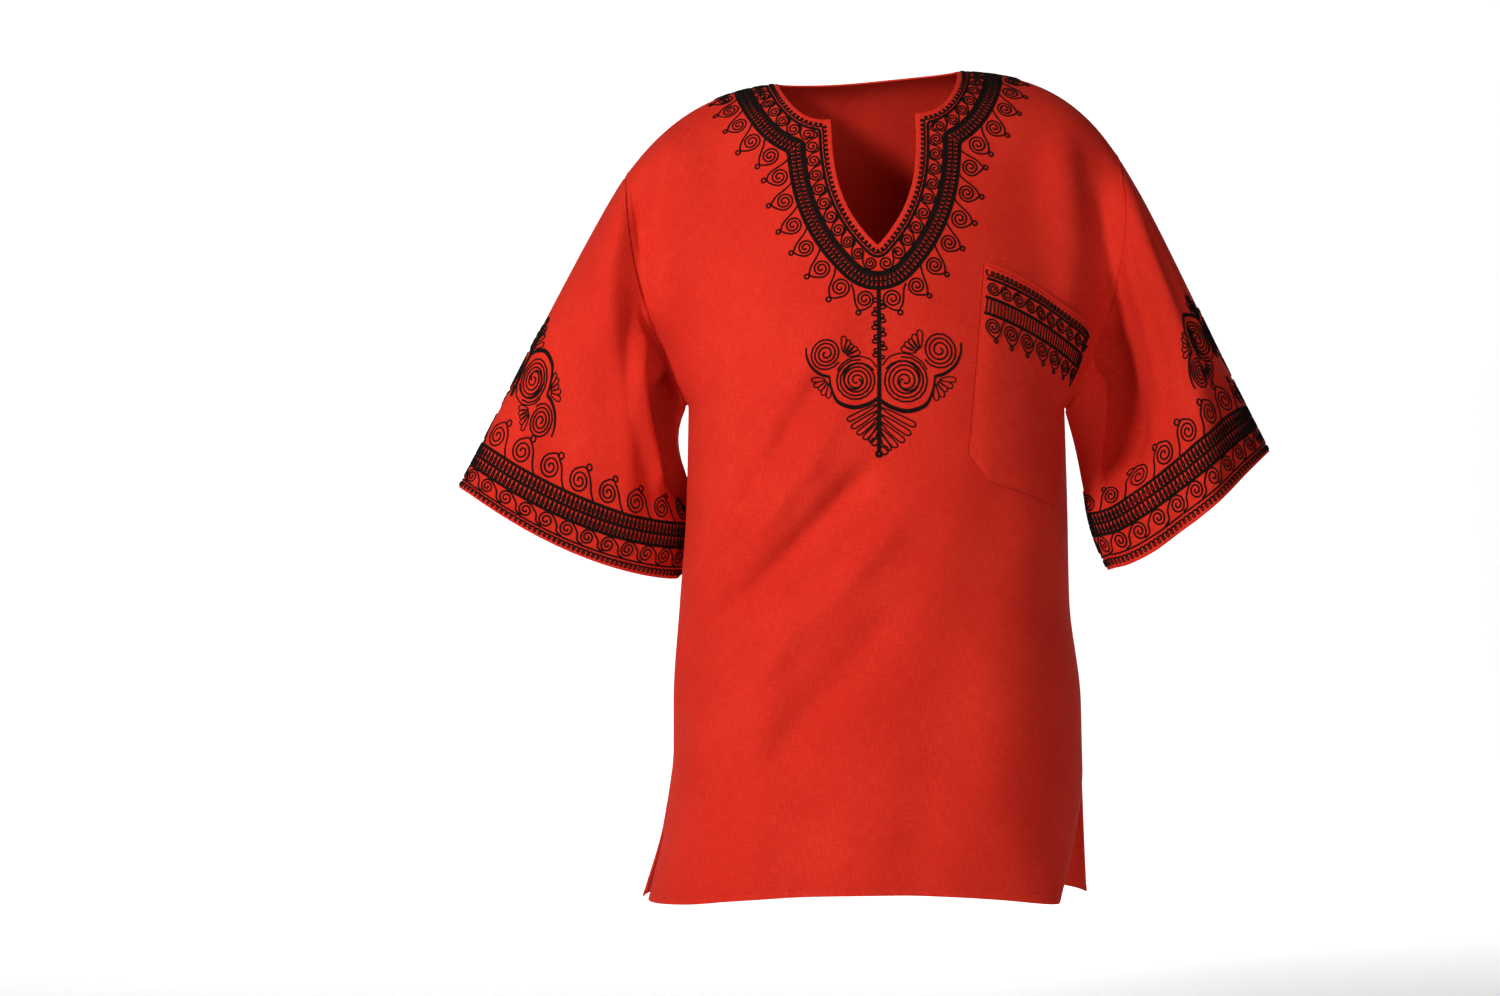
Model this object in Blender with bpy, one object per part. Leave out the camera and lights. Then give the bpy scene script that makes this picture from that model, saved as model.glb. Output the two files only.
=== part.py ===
"""Dashiki shirt, filled out as if worn: front, back, two wide sleeves and a chest pocket.

Metres, +Z up, front towards -Y, the wearer's left at +X. The origin is between the two
neck points, on the shoulder line, where the wearer holds the shirt up.
Every panel is a wall of cloth that grows inwards from its outer face.
"""
import math
from collections import namedtuple

import bmesh
import bpy
import numpy as np

# Cloth and seams
CLOTH = 0.002
SEAM_GAP = 0.0003
FRONT, BACK = -1, 1
RIGHT, LEFT = -1, 1

# Shoulder line, armholes and side seams
SHOULDER_TIP_X = {RIGHT: 0.224, LEFT: 0.235}
SHOULDER_DROP = {RIGHT: 0.090, LEFT: 0.080}
SHOULDER_CURVE = {RIGHT: 3.6, LEFT: 4.5}
SHOULDER_TILT = 0.006
TILT_SPAN, TILT_FADE = 0.060, 0.250
ARMHOLE_DEPTH = 0.060
UNDERARM_Z = -0.306
UNDERARM_X = {RIGHT: 0.165, LEFT: 0.187}
ARMHOLE_LEAN = {RIGHT: 2, LEFT: 3}
ARMHOLE_PACE = 0.65
SIDE_HEM_Z = -0.762
VENT_LENGTH = 0.118
VENT_CURL = 1.6
ROW_SQUARENESS = 2.4
STRAIGHT_ROWS = 0.6
ARMHOLE_REACH = 5.0

# Neck opening: half widths and depths, measured down the cloth from the shoulder line
NECK_HALF = 0.083
SLIT_HALF = 0.0385
NECK_DROP = 0.080
SLIT_END = 0.208
BACK_NECK_DROP = 0.020

Level = namedtuple("Level", "row z_front y_front z_back y_back")
CENTRE_LINE = (
    Level(0.00, 0.000, 0.000, 0.000, 0.000),
    Level(0.10, -0.010, -0.030, -0.008, 0.028),
    Level(0.20, -0.032, -0.058, -0.026, 0.052),
    Level(0.35, -0.075, -0.082, -0.068, 0.078),
    Level(0.50, -0.128, -0.101, -0.122, 0.094),
    Level(0.70, -0.196, -0.118, -0.196, 0.102),
    Level(0.85, -0.238, -0.124, -0.246, 0.103),
    Level(1.00, -0.284, -0.126, -0.298, 0.102),
    Level(1.45, -0.490, -0.124, -0.500, 0.104),
    Level(1.75, -0.630, -0.129, -0.636, 0.114),
    Level(2.00, -0.746, -0.136, -0.750, 0.124),
)

Width = namedtuple("Width", "z right left")
SIDE_SEAMS = (
    Width(-0.306, 0.165, 0.187),
    Width(-0.400, 0.167, 0.190),
    Width(-0.486, 0.173, 0.192),
    Width(-0.580, 0.179, 0.203),
    Width(-0.620, 0.179, 0.204),
    Width(-0.690, 0.188, 0.206),
    Width(-0.762, 0.209, 0.208),
)
SEAM_BEHIND = {RIGHT: 0.006, LEFT: 0.024}

# How far each edge of a side vent has swung in, and apart from the other edge, at the hem
Vent = namedtuple("Vent", "swing_in apart")
VENTS = {
    (FRONT, RIGHT): Vent(0.006, 0.018),
    (FRONT, LEFT): Vent(0.035, 0.074),
    (BACK, RIGHT): Vent(0.002, 0.012),
    (BACK, LEFT): Vent(-0.003, 0.010),
}

# Each cuff's corner on the sleeve's top line, its corner below the arm, and its sag and wave
Cuff = namedtuple("Cuff", "outer inner half_depth front_sag back_sag wave mid_y")
CUFFS = {
    RIGHT: Cuff((-0.377, 0.000, -0.381), (-0.173, 0.062, -0.466), 0.054, 0.014, 0.012, 0.0, 0.025),
    LEFT: Cuff((0.380, 0.050, -0.353), (0.227, -0.040, -0.455), 0.066, -0.004, 0.012, 0.005, 0.005),
}
SLEEVE_AXIS = {RIGHT: (-0.483, 0.0, -0.876), LEFT: (0.476, 0.0, -0.879)}
UNDER_SLEEVE = {RIGHT: (-0.46, 0.50, -0.80), LEFT: (0.30, -0.09, -0.95)}
SLEEVE_TAKE_OFF = 0.24
SLEEVE_LANDING = 0.26
SLEEVE_TOP_PULL = 0.6

# Folds on the front or back: a run in X and Z, its half width, and how far it stands out
Fold = namedtuple("Fold", "face x0 z0 x1 z1 width height")
FOLDS = (
    Fold(FRONT, 0.208, -0.090, 0.228, -0.270, 0.020, -0.018),
    Fold(FRONT, 0.178, -0.090, 0.190, -0.240, 0.022, 0.008),
    Fold(FRONT, 0.246, -0.120, 0.262, -0.300, 0.024, 0.010),
    Fold(FRONT, 0.222, -0.250, 0.242, -0.380, 0.024, -0.022),
    Fold(FRONT, 0.300, -0.250, 0.318, -0.380, 0.022, 0.008),
    Fold(FRONT, 0.274, -0.330, 0.286, -0.430, 0.016, -0.008),
    Fold(FRONT, -0.186, -0.075, -0.192, -0.210, 0.020, 0.010),
    Fold(FRONT, -0.214, -0.120, -0.212, -0.235, 0.018, -0.012),
    Fold(FRONT, -0.228, -0.245, -0.212, -0.380, 0.018, 0.012),
    Fold(FRONT, -0.200, -0.265, -0.180, -0.390, 0.020, -0.020),
    Fold(FRONT, -0.270, -0.200, -0.290, -0.350, 0.022, -0.007),
    Fold(FRONT, -0.176, -0.150, -0.160, -0.270, 0.022, -0.006),
    Fold(FRONT, -0.150, -0.330, -0.100, -0.230, 0.020, 0.005),
    Fold(FRONT, -0.160, -0.420, -0.060, -0.260, 0.024, 0.006),
    Fold(FRONT, -0.140, -0.540, -0.030, -0.420, 0.028, -0.006),
    Fold(FRONT, 0.100, -0.420, 0.076, -0.560, 0.030, -0.006),
    Fold(FRONT, -0.150, -0.640, -0.166, -0.760, 0.024, 0.009),
    Fold(FRONT, -0.060, -0.600, -0.070, -0.760, 0.034, -0.006),
    Fold(FRONT, 0.110, -0.580, 0.136, -0.760, 0.030, 0.008),
    Fold(FRONT, 0.040, -0.640, 0.030, -0.760, 0.026, -0.004),
    Fold(BACK, 0.190, -0.080, 0.206, -0.230, 0.020, -0.008),
    Fold(BACK, -0.186, -0.080, -0.206, -0.220, 0.020, -0.008),
    Fold(BACK, 0.150, -0.250, 0.100, -0.400, 0.024, 0.005),
    Fold(BACK, -0.146, -0.260, -0.090, -0.440, 0.024, 0.005),
    Fold(BACK, 0.080, -0.460, 0.104, -0.750, 0.032, 0.008),
    Fold(BACK, -0.076, -0.520, -0.112, -0.750, 0.030, 0.008),
    Fold(BACK, 0.014, -0.380, 0.000, -0.750, 0.030, -0.006),
    Fold(BACK, 0.250, -0.180, 0.280, -0.330, 0.022, 0.009),
    Fold(BACK, -0.240, -0.170, -0.270, -0.360, 0.024, 0.010),
    Fold(BACK, -0.300, -0.290, -0.330, -0.400, 0.020, -0.007),
)
FOLD_DEPTH_FADE = 0.035

# Chest pocket on the wearer's left: distances across and down the front's cloth
POCKET_TOP = 0.220
POCKET_BOTTOM = 0.416
POCKET_INNER = 0.099
POCKET_OUTER = 0.239
POCKET_CORNER = 0.024
POCKET_CLIP = 0.88
POCKET_LEAN = 0.020
POCKET_DROOP = 0.033
POCKET_DROOP_FADE = 0.7
POCKET_CLEAR = 0.0005
POCKET_PUFF = 0.0009
POCKET_LIMIT = 0.94
POCKET_MOUTH = 0.0045

# Mesh density
THETA_STEPS = 97
NECK_ROWS, SLIT_ROWS, BACK_NECK_ROWS = 7, 7, 4
CHEST_ROWS = {FRONT: 6, BACK: 16}
BODY_ROWS, HALF_COLUMNS = 16, 17
SLEEVE_ROWS = 16
EDGE_CROWDING = 1.25
POCKET_COLUMNS, POCKET_ROWS = 12, 14
PROBE = 0.002
ARRIVAL_RUN = 0.04
MITRE_LIMIT = 2.4

CLOTH_COLOUR = (0.76, 0.035, 0.018, 1)
CLOTH_ROUGHNESS = 0.82
CREASE_ANGLE = math.radians(50)


def through(knots, values, at, level_start=False):
    """A smooth curve through a table's rows that never overshoots between two of them."""
    knots, values = np.asarray(knots, float), np.asarray(values, float)
    step = np.diff(knots)
    chord = np.diff(values) / step
    slope = np.zeros(len(knots))
    turning = chord[:-1] * chord[1:] <= 0
    both = np.where(turning, 1.0, chord[:-1] + chord[1:])
    slope[1:-1] = np.where(turning, 0.0, 2 * chord[:-1] * chord[1:] / both)
    slope[0], slope[-1] = (0.0 if level_start else chord[0]), chord[-1]
    at = np.clip(at, knots[0], knots[-1])
    i = np.clip(np.searchsorted(knots, at) - 1, 0, len(step) - 1)
    h = step[i]
    t = (at - knots[i]) / h
    rise = t * t * (3 - 2 * t)
    return (
        values[i] * (1 - rise)
        + values[i + 1] * rise
        + slope[i] * h * t * (1 - t) ** 2
        - slope[i + 1] * h * t * t * (1 - t)
    )


def column(table, name):
    return [getattr(row, name) for row in table]


def centre_line(face, r):
    """Y and Z of the centre front or centre back at each row."""
    end = "front" if face == FRONT else "back"
    rows = column(CENTRE_LINE, "row")
    y = through(rows, column(CENTRE_LINE, "y_" + end), r)
    z = through(rows, column(CENTRE_LINE, "z_" + end), r, level_start=True)
    return y, z


def panel_edge(face, side, r):
    """The panel's side edge: the armhole down to row 1, then the side seam and the vent."""
    round_it = np.clip(r, 0, 1) ** ARMHOLE_PACE
    fallen = 1 - np.cos(math.pi / 2 * round_it)
    tip_x, tip_z = SHOULDER_TIP_X[side], -SHOULDER_DROP[side]
    armhole_x = tip_x + (UNDERARM_X[side] - tip_x) * fallen ** ARMHOLE_LEAN[side]
    armhole_z = tip_z + (UNDERARM_Z - tip_z) * fallen
    armhole_y = face * ARMHOLE_DEPTH * np.sin(math.pi * round_it) + SEAM_BEHIND[side] * fallen
    down = np.clip(r - 1, 0, 1)
    seam_z = UNDERARM_Z + (SIDE_HEM_Z - UNDERARM_Z) * down
    wide = column(SIDE_SEAMS, "right" if side == RIGHT else "left")
    seam_x = through([-z for z in column(SIDE_SEAMS, "z")], wide, -seam_z)
    opened = np.clip((r - vent_row()) / (2 - vent_row()), 0, 1) ** VENT_CURL
    vent = VENTS[face, side]
    x = np.where(r <= 1, armhole_x, seam_x - vent.swing_in * opened)
    y = np.where(r <= 1, armhole_y, SEAM_BEHIND[side] + face * vent.apart * opened)
    z = np.where(r <= 1, armhole_z, seam_z)
    return side * x, y, z


def vent_row():
    return 2 - VENT_LENGTH / (UNDERARM_Z - SIDE_HEM_Z)


def row_curve(face, side, r, theta):
    """Points of a half row, from the centre line at theta 0 to the side edge at theta pi / 2.

    Above the underarm a row reaches its armhole nearly straight, heading into the sleeve.
    From the underarm down it turns round the side to meet the other panel.
    """
    y_mid, z_mid = centre_line(face, r)
    x_edge, y_edge, z_edge = panel_edge(face, side, r)
    out = np.sin(theta)
    upper = np.clip(r, 0, 1)
    turned = np.clip((upper - STRAIGHT_ROWS) / (1 - STRAIGHT_ROWS), 0, 1) ** 2
    lift = 2 + (SHOULDER_CURVE[side] - 2) * np.cos(math.pi * upper / 2) ** 2
    curved = np.clip(1 - out**ROW_SQUARENESS, 0, 1) ** (1 - turned / 2)
    x = x_edge * out
    y = y_mid * curved + y_edge * out**ARMHOLE_REACH
    z = z_mid + (z_edge - z_mid) * out**lift
    return np.stack([x, y, z], -1)


def half_rows(face, side, r):
    """A half row's points at even angles, and the length of cloth from the centre line to each."""
    theta = np.linspace(0, math.pi / 2, THETA_STEPS)
    points = row_curve(face, side, np.asarray(r)[..., None], theta)
    steps = np.linalg.norm(np.diff(points, axis=-2), axis=-1)
    reach = np.concatenate([np.zeros(steps.shape[:-1] + (1,)), np.cumsum(steps, -1)], -1)
    return points, reach


def torso(face, side, across, r):
    """The skin's points at a share across each half row, measured along the cloth."""
    across, r = np.broadcast_arrays(np.asarray(across, float), np.asarray(r, float))
    points, reach = half_rows(face, side, r.ravel())
    wanted = across.ravel() * reach[:, -1]
    right = np.clip((reach < wanted[:, None]).sum(1), 1, THETA_STEPS - 1)
    n = np.arange(len(right))
    start, end = reach[n, right - 1], reach[n, right]
    share = ((wanted - start) / (end - start))[:, None]
    found = points[n, right - 1] * (1 - share) + points[n, right] * share
    return found.reshape(across.shape + (3,))


def row_width(face, side, r):
    return half_rows(face, side, r)[1][..., -1]


def down_the_cloth(face):
    """Rows and the length of cloth down the centre line to each."""
    rows = np.linspace(0, 2, 401)
    y, z = centre_line(face, rows)
    steps = np.hypot(np.diff(y), np.diff(z))
    return rows, np.concatenate([[0], np.cumsum(steps)])


def row_at(face, drop):
    rows, length = down_the_cloth(face)
    return np.interp(drop, length, rows)


def sleeve_middle_y(x):
    """Y of the plane between a sleeve's front and back at this X."""
    side = np.where(x > 0, CUFFS[LEFT].mid_y, CUFFS[RIGHT].mid_y)
    return side * np.clip((np.abs(x) - 0.2) / 0.1, 0, 1)


def folded(points):
    """Adds the folds, in or out along Y, and the tilt of the shoulders.

    Both depend on a point's place alone, so pieces that meet still meet.
    """
    x, y, z = points[..., 0], points[..., 1], points[..., 2]
    forward = np.zeros_like(x)
    for face in (FRONT, BACK):
        depth = face * (y - sleeve_middle_y(x)) / FOLD_DEPTH_FADE
        weight = np.clip(depth, 0, 1) ** 2 * (3 - 2 * np.clip(depth, 0, 1))
        height = np.zeros_like(x)
        for fold in (f for f in FOLDS if f.face == face):
            run = np.array([fold.x1 - fold.x0, fold.z1 - fold.z0])
            along = ((x - fold.x0) * run[0] + (z - fold.z0) * run[1]) / (run @ run)
            off_end = np.clip(np.abs(along - 0.5) - 0.5, 0, None) * np.linalg.norm(run)
            across = ((x - fold.x0) * run[1] - (z - fold.z0) * run[0]) / np.linalg.norm(run)
            end_fade = np.exp(-((off_end / (2 * fold.width)) ** 2))
            height = height + fold.height * end_fade * np.exp(-((across / fold.width) ** 2))
        forward = forward + face * height * weight
    moved = points.copy()
    moved[..., 1] = y + forward
    moved[..., 2] = z + SHOULDER_TILT * np.tanh(x / TILT_SPAN) * np.clip(1 + z / TILT_FADE, 0, 1)
    return moved


def skin(face, side, across, r):
    return folded(torso(face, side, across, r))


def sleeve_ring(side, steps=361):
    """The armhole as a closed ring: shoulder tip, down the front to the underarm, and up the back."""
    half = np.linspace(0, 1, steps)
    front = np.stack(panel_edge(FRONT, side, half), -1)
    back = np.stack(panel_edge(BACK, side, half[::-1]), -1)
    return even_halves(front), even_halves(back)


def even_halves(points):
    """A function from 0..1 to the polyline's points at that share of its length."""
    reach = np.concatenate([[0], np.cumsum(np.linalg.norm(np.diff(points, axis=0), axis=1))])

    def at(share):
        wanted = np.asarray(share) * reach[-1]
        return np.stack([np.interp(wanted, reach, points[:, k]) for k in range(3)], -1)

    return at


def cuff_ring(side, steps=361):
    cuff = CUFFS[side]
    outer, inner = np.array(cuff.outer), np.array(cuff.inner)
    axis = np.array(SLEEVE_AXIS[side])
    long = (outer - inner) / 2
    short = np.cross(axis, long)
    short *= -cuff.half_depth * np.sign(short[1]) / np.linalg.norm(short)
    angle = np.linspace(0, math.pi, steps)[:, None]
    middle = (outer + inner) / 2
    sag = axis * np.sin(angle) ** 2
    wave = axis * np.sin(2 * angle) * cuff.wave
    front = middle + long * np.cos(angle) + short * np.sin(angle) + sag * cuff.front_sag - wave
    back = middle + long * np.cos(angle) - short * np.sin(angle) + sag * cuff.back_sag
    return even_halves(front), even_halves(back[::-1])


def around(halves, turn):
    """Points on a ring at a turn from 0 to 1; 0 is the top line and 0.5 is under the arm."""
    turn = np.mod(turn, 1)
    front = halves[0](np.clip(2 * turn, 0, 1))
    back = halves[1](np.clip(2 * turn - 1, 0, 1))
    return np.where((turn < 0.5)[..., None], front, back)


def leaving_panel(side, turn):
    """The direction in which the panel's cloth arrives at the armhole."""
    turns, directions = ARRIVALS[side]
    return np.stack([np.interp(np.mod(turn, 1), turns, directions[:, k]) for k in range(3)], -1)


def arrivals(side, steps=121):
    turns, directions = [], []
    for face, rows in ((FRONT, np.linspace(0, 1, steps)), (BACK, np.linspace(1, 0, steps))):
        step = torso(face, side, 1.0, rows) - torso(face, side, 1 - ARRIVAL_RUN, rows)
        turns.append(armhole_turn(side, face, rows))
        directions.append(step / np.linalg.norm(step, axis=-1, keepdims=True))
    return np.concatenate(turns), np.concatenate(directions)


def sleeve(side, turn, along):
    """The sleeve's outer face: turn goes round it, along runs from the armhole at 0 to the cuff at 1.

    The upper part carries on the way the panel's cloth arrives; the under part drops off the seam.
    """
    turn, along = np.broadcast_arrays(np.asarray(turn, float), np.asarray(along, float))
    start = around(sleeve_ring(side), turn)
    end = around(cuff_ring(side), turn)
    axis = np.array(SLEEVE_AXIS[side])
    upward = np.cos(2 * math.pi * turn)[..., None]
    on_top = np.clip(upward + 0.4, 0, 1)
    below = np.clip(-upward / 0.6 - 0.66, 0, 1)
    take_off = axis * (1 - on_top - below) + leaving_panel(side, turn) * on_top * SLEEVE_TOP_PULL
    take_off = take_off + np.array(UNDER_SLEEVE[side]) * below
    t = along[..., None]
    rise = t * t * (3 - 2 * t)
    line = start * (1 - rise) + end * rise
    line = line + take_off * SLEEVE_TAKE_OFF * t * (1 - t) ** 2
    line = line - axis * SLEEVE_LANDING * t * t * (1 - t)
    return folded(line)


def face_normals(at, a, b, flip):
    """Outward normals of a surface function by small steps in both of its directions."""
    da = at(a + PROBE, b) - at(a - PROBE, b)
    db = at(a, b + PROBE) - at(a, b - PROBE)
    normal = np.cross(da, db) * flip
    return normal / np.linalg.norm(normal, axis=-1, keepdims=True)


def set_back(grid, edge, closed=False):
    """Moves a grid's first or last row in, square to the seam, which leaves the gap at the seam."""
    grid = grid.copy()
    line = grid[edge]
    if closed:
        along = np.roll(line, -1, axis=0) - np.roll(line, 1, axis=0)
    else:
        along = np.gradient(line, axis=0)
    along /= np.linalg.norm(along, axis=-1, keepdims=True)
    step = grid[1 if edge == 0 else -2] - line
    step -= along * (step * along).sum(-1, keepdims=True)
    grid[edge] += SEAM_GAP / 2 * step / np.linalg.norm(step, axis=-1, keepdims=True)
    return grid


def seams_open(half):
    """Leaves the gap along a half panel's shoulder, armhole and side seam."""
    half = set_back(half.swapaxes(0, 1), -1).swapaxes(0, 1)
    return set_back(half, 0)


def grid_quads(rows, columns, wrap=False):
    quads = []
    for i in range(rows - 1):
        for j in range(columns if wrap else columns - 1):
            k = (j + 1) % columns
            quads.append((i * columns + j, i * columns + k, (i + 1) * columns + k, (i + 1) * columns + j))
    return quads


def make_wall(name, outer, inner, quads):
    """One closed solid: the outer face, the inner face and the rim along every open edge."""
    count = len(outer)
    used = {}
    for quad in quads:
        for a, b in zip(quad, quad[1:] + quad[:1]):
            used[a, b] = True
    rim = [(b, a, a + count, b + count) for a, b in used if (b, a) not in used]
    inside = [tuple(count + k for k in reversed(quad)) for quad in quads]
    mesh = bpy.data.meshes.new(name)
    mesh.from_pydata(np.concatenate([outer, inner]).tolist(), [], quads + inside + rim)
    shell = bmesh.new()
    shell.from_mesh(mesh)
    bmesh.ops.recalc_face_normals(shell, faces=shell.faces)
    bmesh.ops.triangulate(shell, faces=shell.faces)
    shell.to_mesh(mesh)
    shell.free()
    mesh.shade_smooth()
    mesh.set_sharp_from_angle(angle=CREASE_ANGLE)
    mesh.materials.append(cloth)
    piece = bpy.data.objects.new(name, mesh)
    parts.objects.link(piece)
    return piece


def cloth_material():
    material = bpy.data.materials.new("cloth")
    material.use_nodes = True
    shader = material.node_tree.nodes["Principled BSDF"]
    shader.inputs["Base Color"].default_value = CLOTH_COLOUR
    shader.inputs["Roughness"].default_value = CLOTH_ROUGHNESS
    shader.inputs["Metallic"].default_value = 0
    return material


def joined_halves(right_half, left_half, first_shared_row):
    """Two half grids made one sheet, whose centre columns are one below the neck opening."""
    rows, columns = right_half.shape[:2]
    points = np.concatenate([right_half.reshape(-1, 3), left_half.reshape(-1, 3)])
    quads = [tuple(reversed(q)) for q in grid_quads(rows, columns)]
    for quad in grid_quads(rows, columns):
        moved = []
        for k in quad:
            row, place = divmod(k, columns)
            shared = place == 0 and row >= first_shared_row
            moved.append(k if shared else k + rows * columns)
        quads.append(tuple(moved))
    return points, quads


def neck_edge_front():
    """The front neckline from the neck point to the end of the slit, as distances across and down."""
    turn = np.linspace(0, math.pi / 2, NECK_ROWS + 1)
    round_s = SLIT_HALF + (NECK_HALF - SLIT_HALF) * np.cos(turn) ** 0.8
    round_t = NECK_DROP * np.sin(turn) ** 0.9
    down = np.linspace(0, 1, SLIT_ROWS + 1)[1:]
    slit_s = SLIT_HALF * (1 - down**3.2)
    slit_t = NECK_DROP + (SLIT_END - NECK_DROP) * down
    return np.concatenate([round_s, slit_s]), np.concatenate([round_t, slit_t])


def neck_edge_back():
    turn = np.linspace(0, math.pi / 2, BACK_NECK_ROWS + 1)
    return NECK_HALF * np.cos(turn) ** 0.9, BACK_NECK_DROP * np.sin(turn) ** 0.9


def panel_rows(face):
    """Each row's place on the neck edge or centre line, and its place on the side edge."""
    neck_s, neck_t = NECK_EDGES[face]
    inner = row_at(face, neck_t)
    reach = np.concatenate([[0], np.cumsum(np.hypot(np.diff(neck_s), np.diff(neck_t)))])
    outer = inner[-1] * reach / reach[-1]
    chest = np.linspace(inner[-1], 1, CHEST_ROWS[face] + 1)[1:]
    body = np.linspace(1, 2, BODY_ROWS + 1)[1:]
    return np.concatenate([inner, chest, body]), np.concatenate([outer, chest, body])


def half_panel(face, side):
    """Outer and inner grids of half a panel, from its neck edge or centre line to its side edge."""
    inner_r, outer_r = panel_rows(face)
    neck_s = NECK_EDGES[face][0]
    inner_u = np.zeros(len(inner_r))
    inner_u[: len(neck_s)] = neck_s / row_width(face, side, inner_r[: len(neck_s)])
    share = 1 - (1 - np.linspace(0, 1, HALF_COLUMNS + 1)[None, :]) ** EDGE_CROWDING
    across = inner_u[:, None] * (1 - share) + share
    rows = inner_r[:, None] * (1 - share) + outer_r[:, None] * share
    outer = skin(face, side, across, rows)
    normal = panel_normals(face, side, across, rows)
    at_armhole = outer_r <= 1
    normal[at_armhole, -1] = mitred(side, face, outer_r[at_armhole], normal[at_armhole, -1])
    return outer, outer - CLOTH * normal


def panel_normals(face, side, across, rows):
    across, rows = np.clip(across, PROBE, 1 - PROBE), np.clip(rows, PROBE, 2 - PROBE)
    return face_normals(lambda u, r: skin(face, side, u, r), across, rows, face * side)


def sleeve_normals(side, turn, along):
    along = np.clip(along, PROBE, 1 - PROBE)
    return face_normals(lambda w, l: sleeve(side, w, l), turn, along, side)


def armhole_turn(side, face, r):
    """The turn round the sleeve at which the panel's row r meets it."""
    rows = np.linspace(0, 1, 361)
    steps = np.linalg.norm(np.diff(np.stack(panel_edge(face, side, rows), -1), axis=0), axis=1)
    reach = np.concatenate([[0], np.cumsum(steps)])
    share = np.interp(r, rows, reach / reach[-1])
    return share / 2 if face == FRONT else 1 - share / 2


def mitred(side, face, r, own):
    """The direction both walls thicken in at the armhole, except where the seam lies deep in a fold."""
    r = np.asarray(r)
    turn = armhole_turn(side, face, r)
    of_sleeve = sleeve_normals(side, turn, np.zeros_like(r))
    of_panel = panel_normals(face, side, np.ones_like(r), r)
    leaving = sleeve(side, turn, np.full_like(r, PROBE)) - sleeve(side, turn, np.zeros_like(r))
    ridge = (of_panel * leaving).sum(-1, keepdims=True) < 0
    both = of_panel + of_sleeve
    square = (both**2).sum(-1, keepdims=True)
    return np.where(ridge | (square > MITRE_LIMIT), 2 * both / np.clip(square, 1, None), own)


def make_panel(name, face):
    first_shared = len(NECK_EDGES[face][0]) - 1
    halves = [half_panel(face, side) for side in (RIGHT, LEFT)]
    sheets = []
    for right_half, left_half in zip(*halves):
        points, quads = joined_halves(seams_open(right_half), seams_open(left_half), first_shared)
        sheets.append(points)
    used = sorted({k for quad in quads for k in quad})
    place = {k: n for n, k in enumerate(used)}
    quads = [tuple(place[k] for k in quad) for quad in quads]
    return make_wall(name, sheets[0][used], sheets[1][used], quads)


def make_sleeve(name, side):
    front, back = (panel_rows(face)[1] for face in (FRONT, BACK))
    front, back = front[front <= 1], back[(back > 0) & (back < 1)][::-1]
    ring = np.concatenate([armhole_turn(side, FRONT, front), armhole_turn(side, BACK, back)])
    turn, along = np.broadcast_arrays(ring[None, :], np.linspace(0, 1, SLEEVE_ROWS + 1)[:, None])
    outer = sleeve(side, turn, along)
    normal = sleeve_normals(side, turn, along)
    normal[0, : len(front)] = mitred(side, FRONT, front, normal[0, : len(front)])
    normal[0, len(front) :] = mitred(side, BACK, back, normal[0, len(front) :])
    inner = outer - CLOTH * normal
    outer, inner = (set_back(grid, 0, closed=True) for grid in (outer, inner))
    quads = grid_quads(SLEEVE_ROWS + 1, len(ring), wrap=True)
    return make_wall(name, outer.reshape(-1, 3), inner.reshape(-1, 3), quads)


def pocket_outline(across, down):
    """Distances across and down the front's cloth for a share across and down the pocket."""
    left = POCKET_INNER - POCKET_LEAN * down
    right = POCKET_OUTER - POCKET_LEAN * down
    right = np.minimum(right, POCKET_LIMIT * row_width(FRONT, LEFT, row_at(FRONT, POCKET_TOP)))
    clipped = np.clip((down - POCKET_CLIP) / (1 - POCKET_CLIP), 0, 1) * POCKET_CORNER
    s = left + clipped + (right - left - 2 * clipped) * across
    droop = POCKET_DROOP * across * (1 - POCKET_DROOP_FADE * down)
    t = POCKET_TOP + droop + (POCKET_BOTTOM - POCKET_TOP) * down
    return s, t


def make_pocket():
    """The patch pocket, laid on the front's outer face and sewn on three sides; its mouth gapes."""
    across = np.linspace(0, 1, POCKET_COLUMNS + 1)[None, :]
    down = np.linspace(0, 1, POCKET_ROWS + 1)[:, None]
    across, down = np.broadcast_arrays(across, down)

    def at(u, v):
        s, t = pocket_outline(u, v)
        r = row_at(FRONT, t)
        return skin(FRONT, LEFT, s / row_width(FRONT, LEFT, r), r)

    on_panel = at(across, down)
    normal = face_normals(at, np.clip(across, PROBE, 1 - PROBE), np.clip(down, PROBE, 1 - PROBE), -1)
    normal *= np.sign(normal[..., 1:2] * FRONT)
    middle = np.clip(np.sin(math.pi * across), 0, 1)
    gape = POCKET_MOUTH * (1 - down) ** 3 * (middle + 0.3 * across**2)
    puff = POCKET_PUFF * np.sqrt(middle * np.clip(np.sin(math.pi * down), 0, 1))
    inner = on_panel + normal * (POCKET_CLEAR + puff + gape)[..., None]
    outer = inner + normal * CLOTH
    quads = grid_quads(POCKET_ROWS + 1, POCKET_COLUMNS + 1)
    return make_wall("pocket", outer.reshape(-1, 3), inner.reshape(-1, 3), quads)


def clear_scene():
    for leftover in list(bpy.data.objects):
        bpy.data.objects.remove(leftover)


NECK_EDGES = {FRONT: neck_edge_front(), BACK: neck_edge_back()}
ARRIVALS = {side: arrivals(side) for side in (RIGHT, LEFT)}

clear_scene()
cloth = cloth_material()
parts = bpy.data.collections.new("dashiki_shirt")
bpy.context.scene.collection.children.link(parts)
make_panel("front", FRONT)
make_panel("back", BACK)
make_sleeve("sleeve_right", RIGHT)
make_sleeve("sleeve_left", LEFT)
make_pocket()
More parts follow.
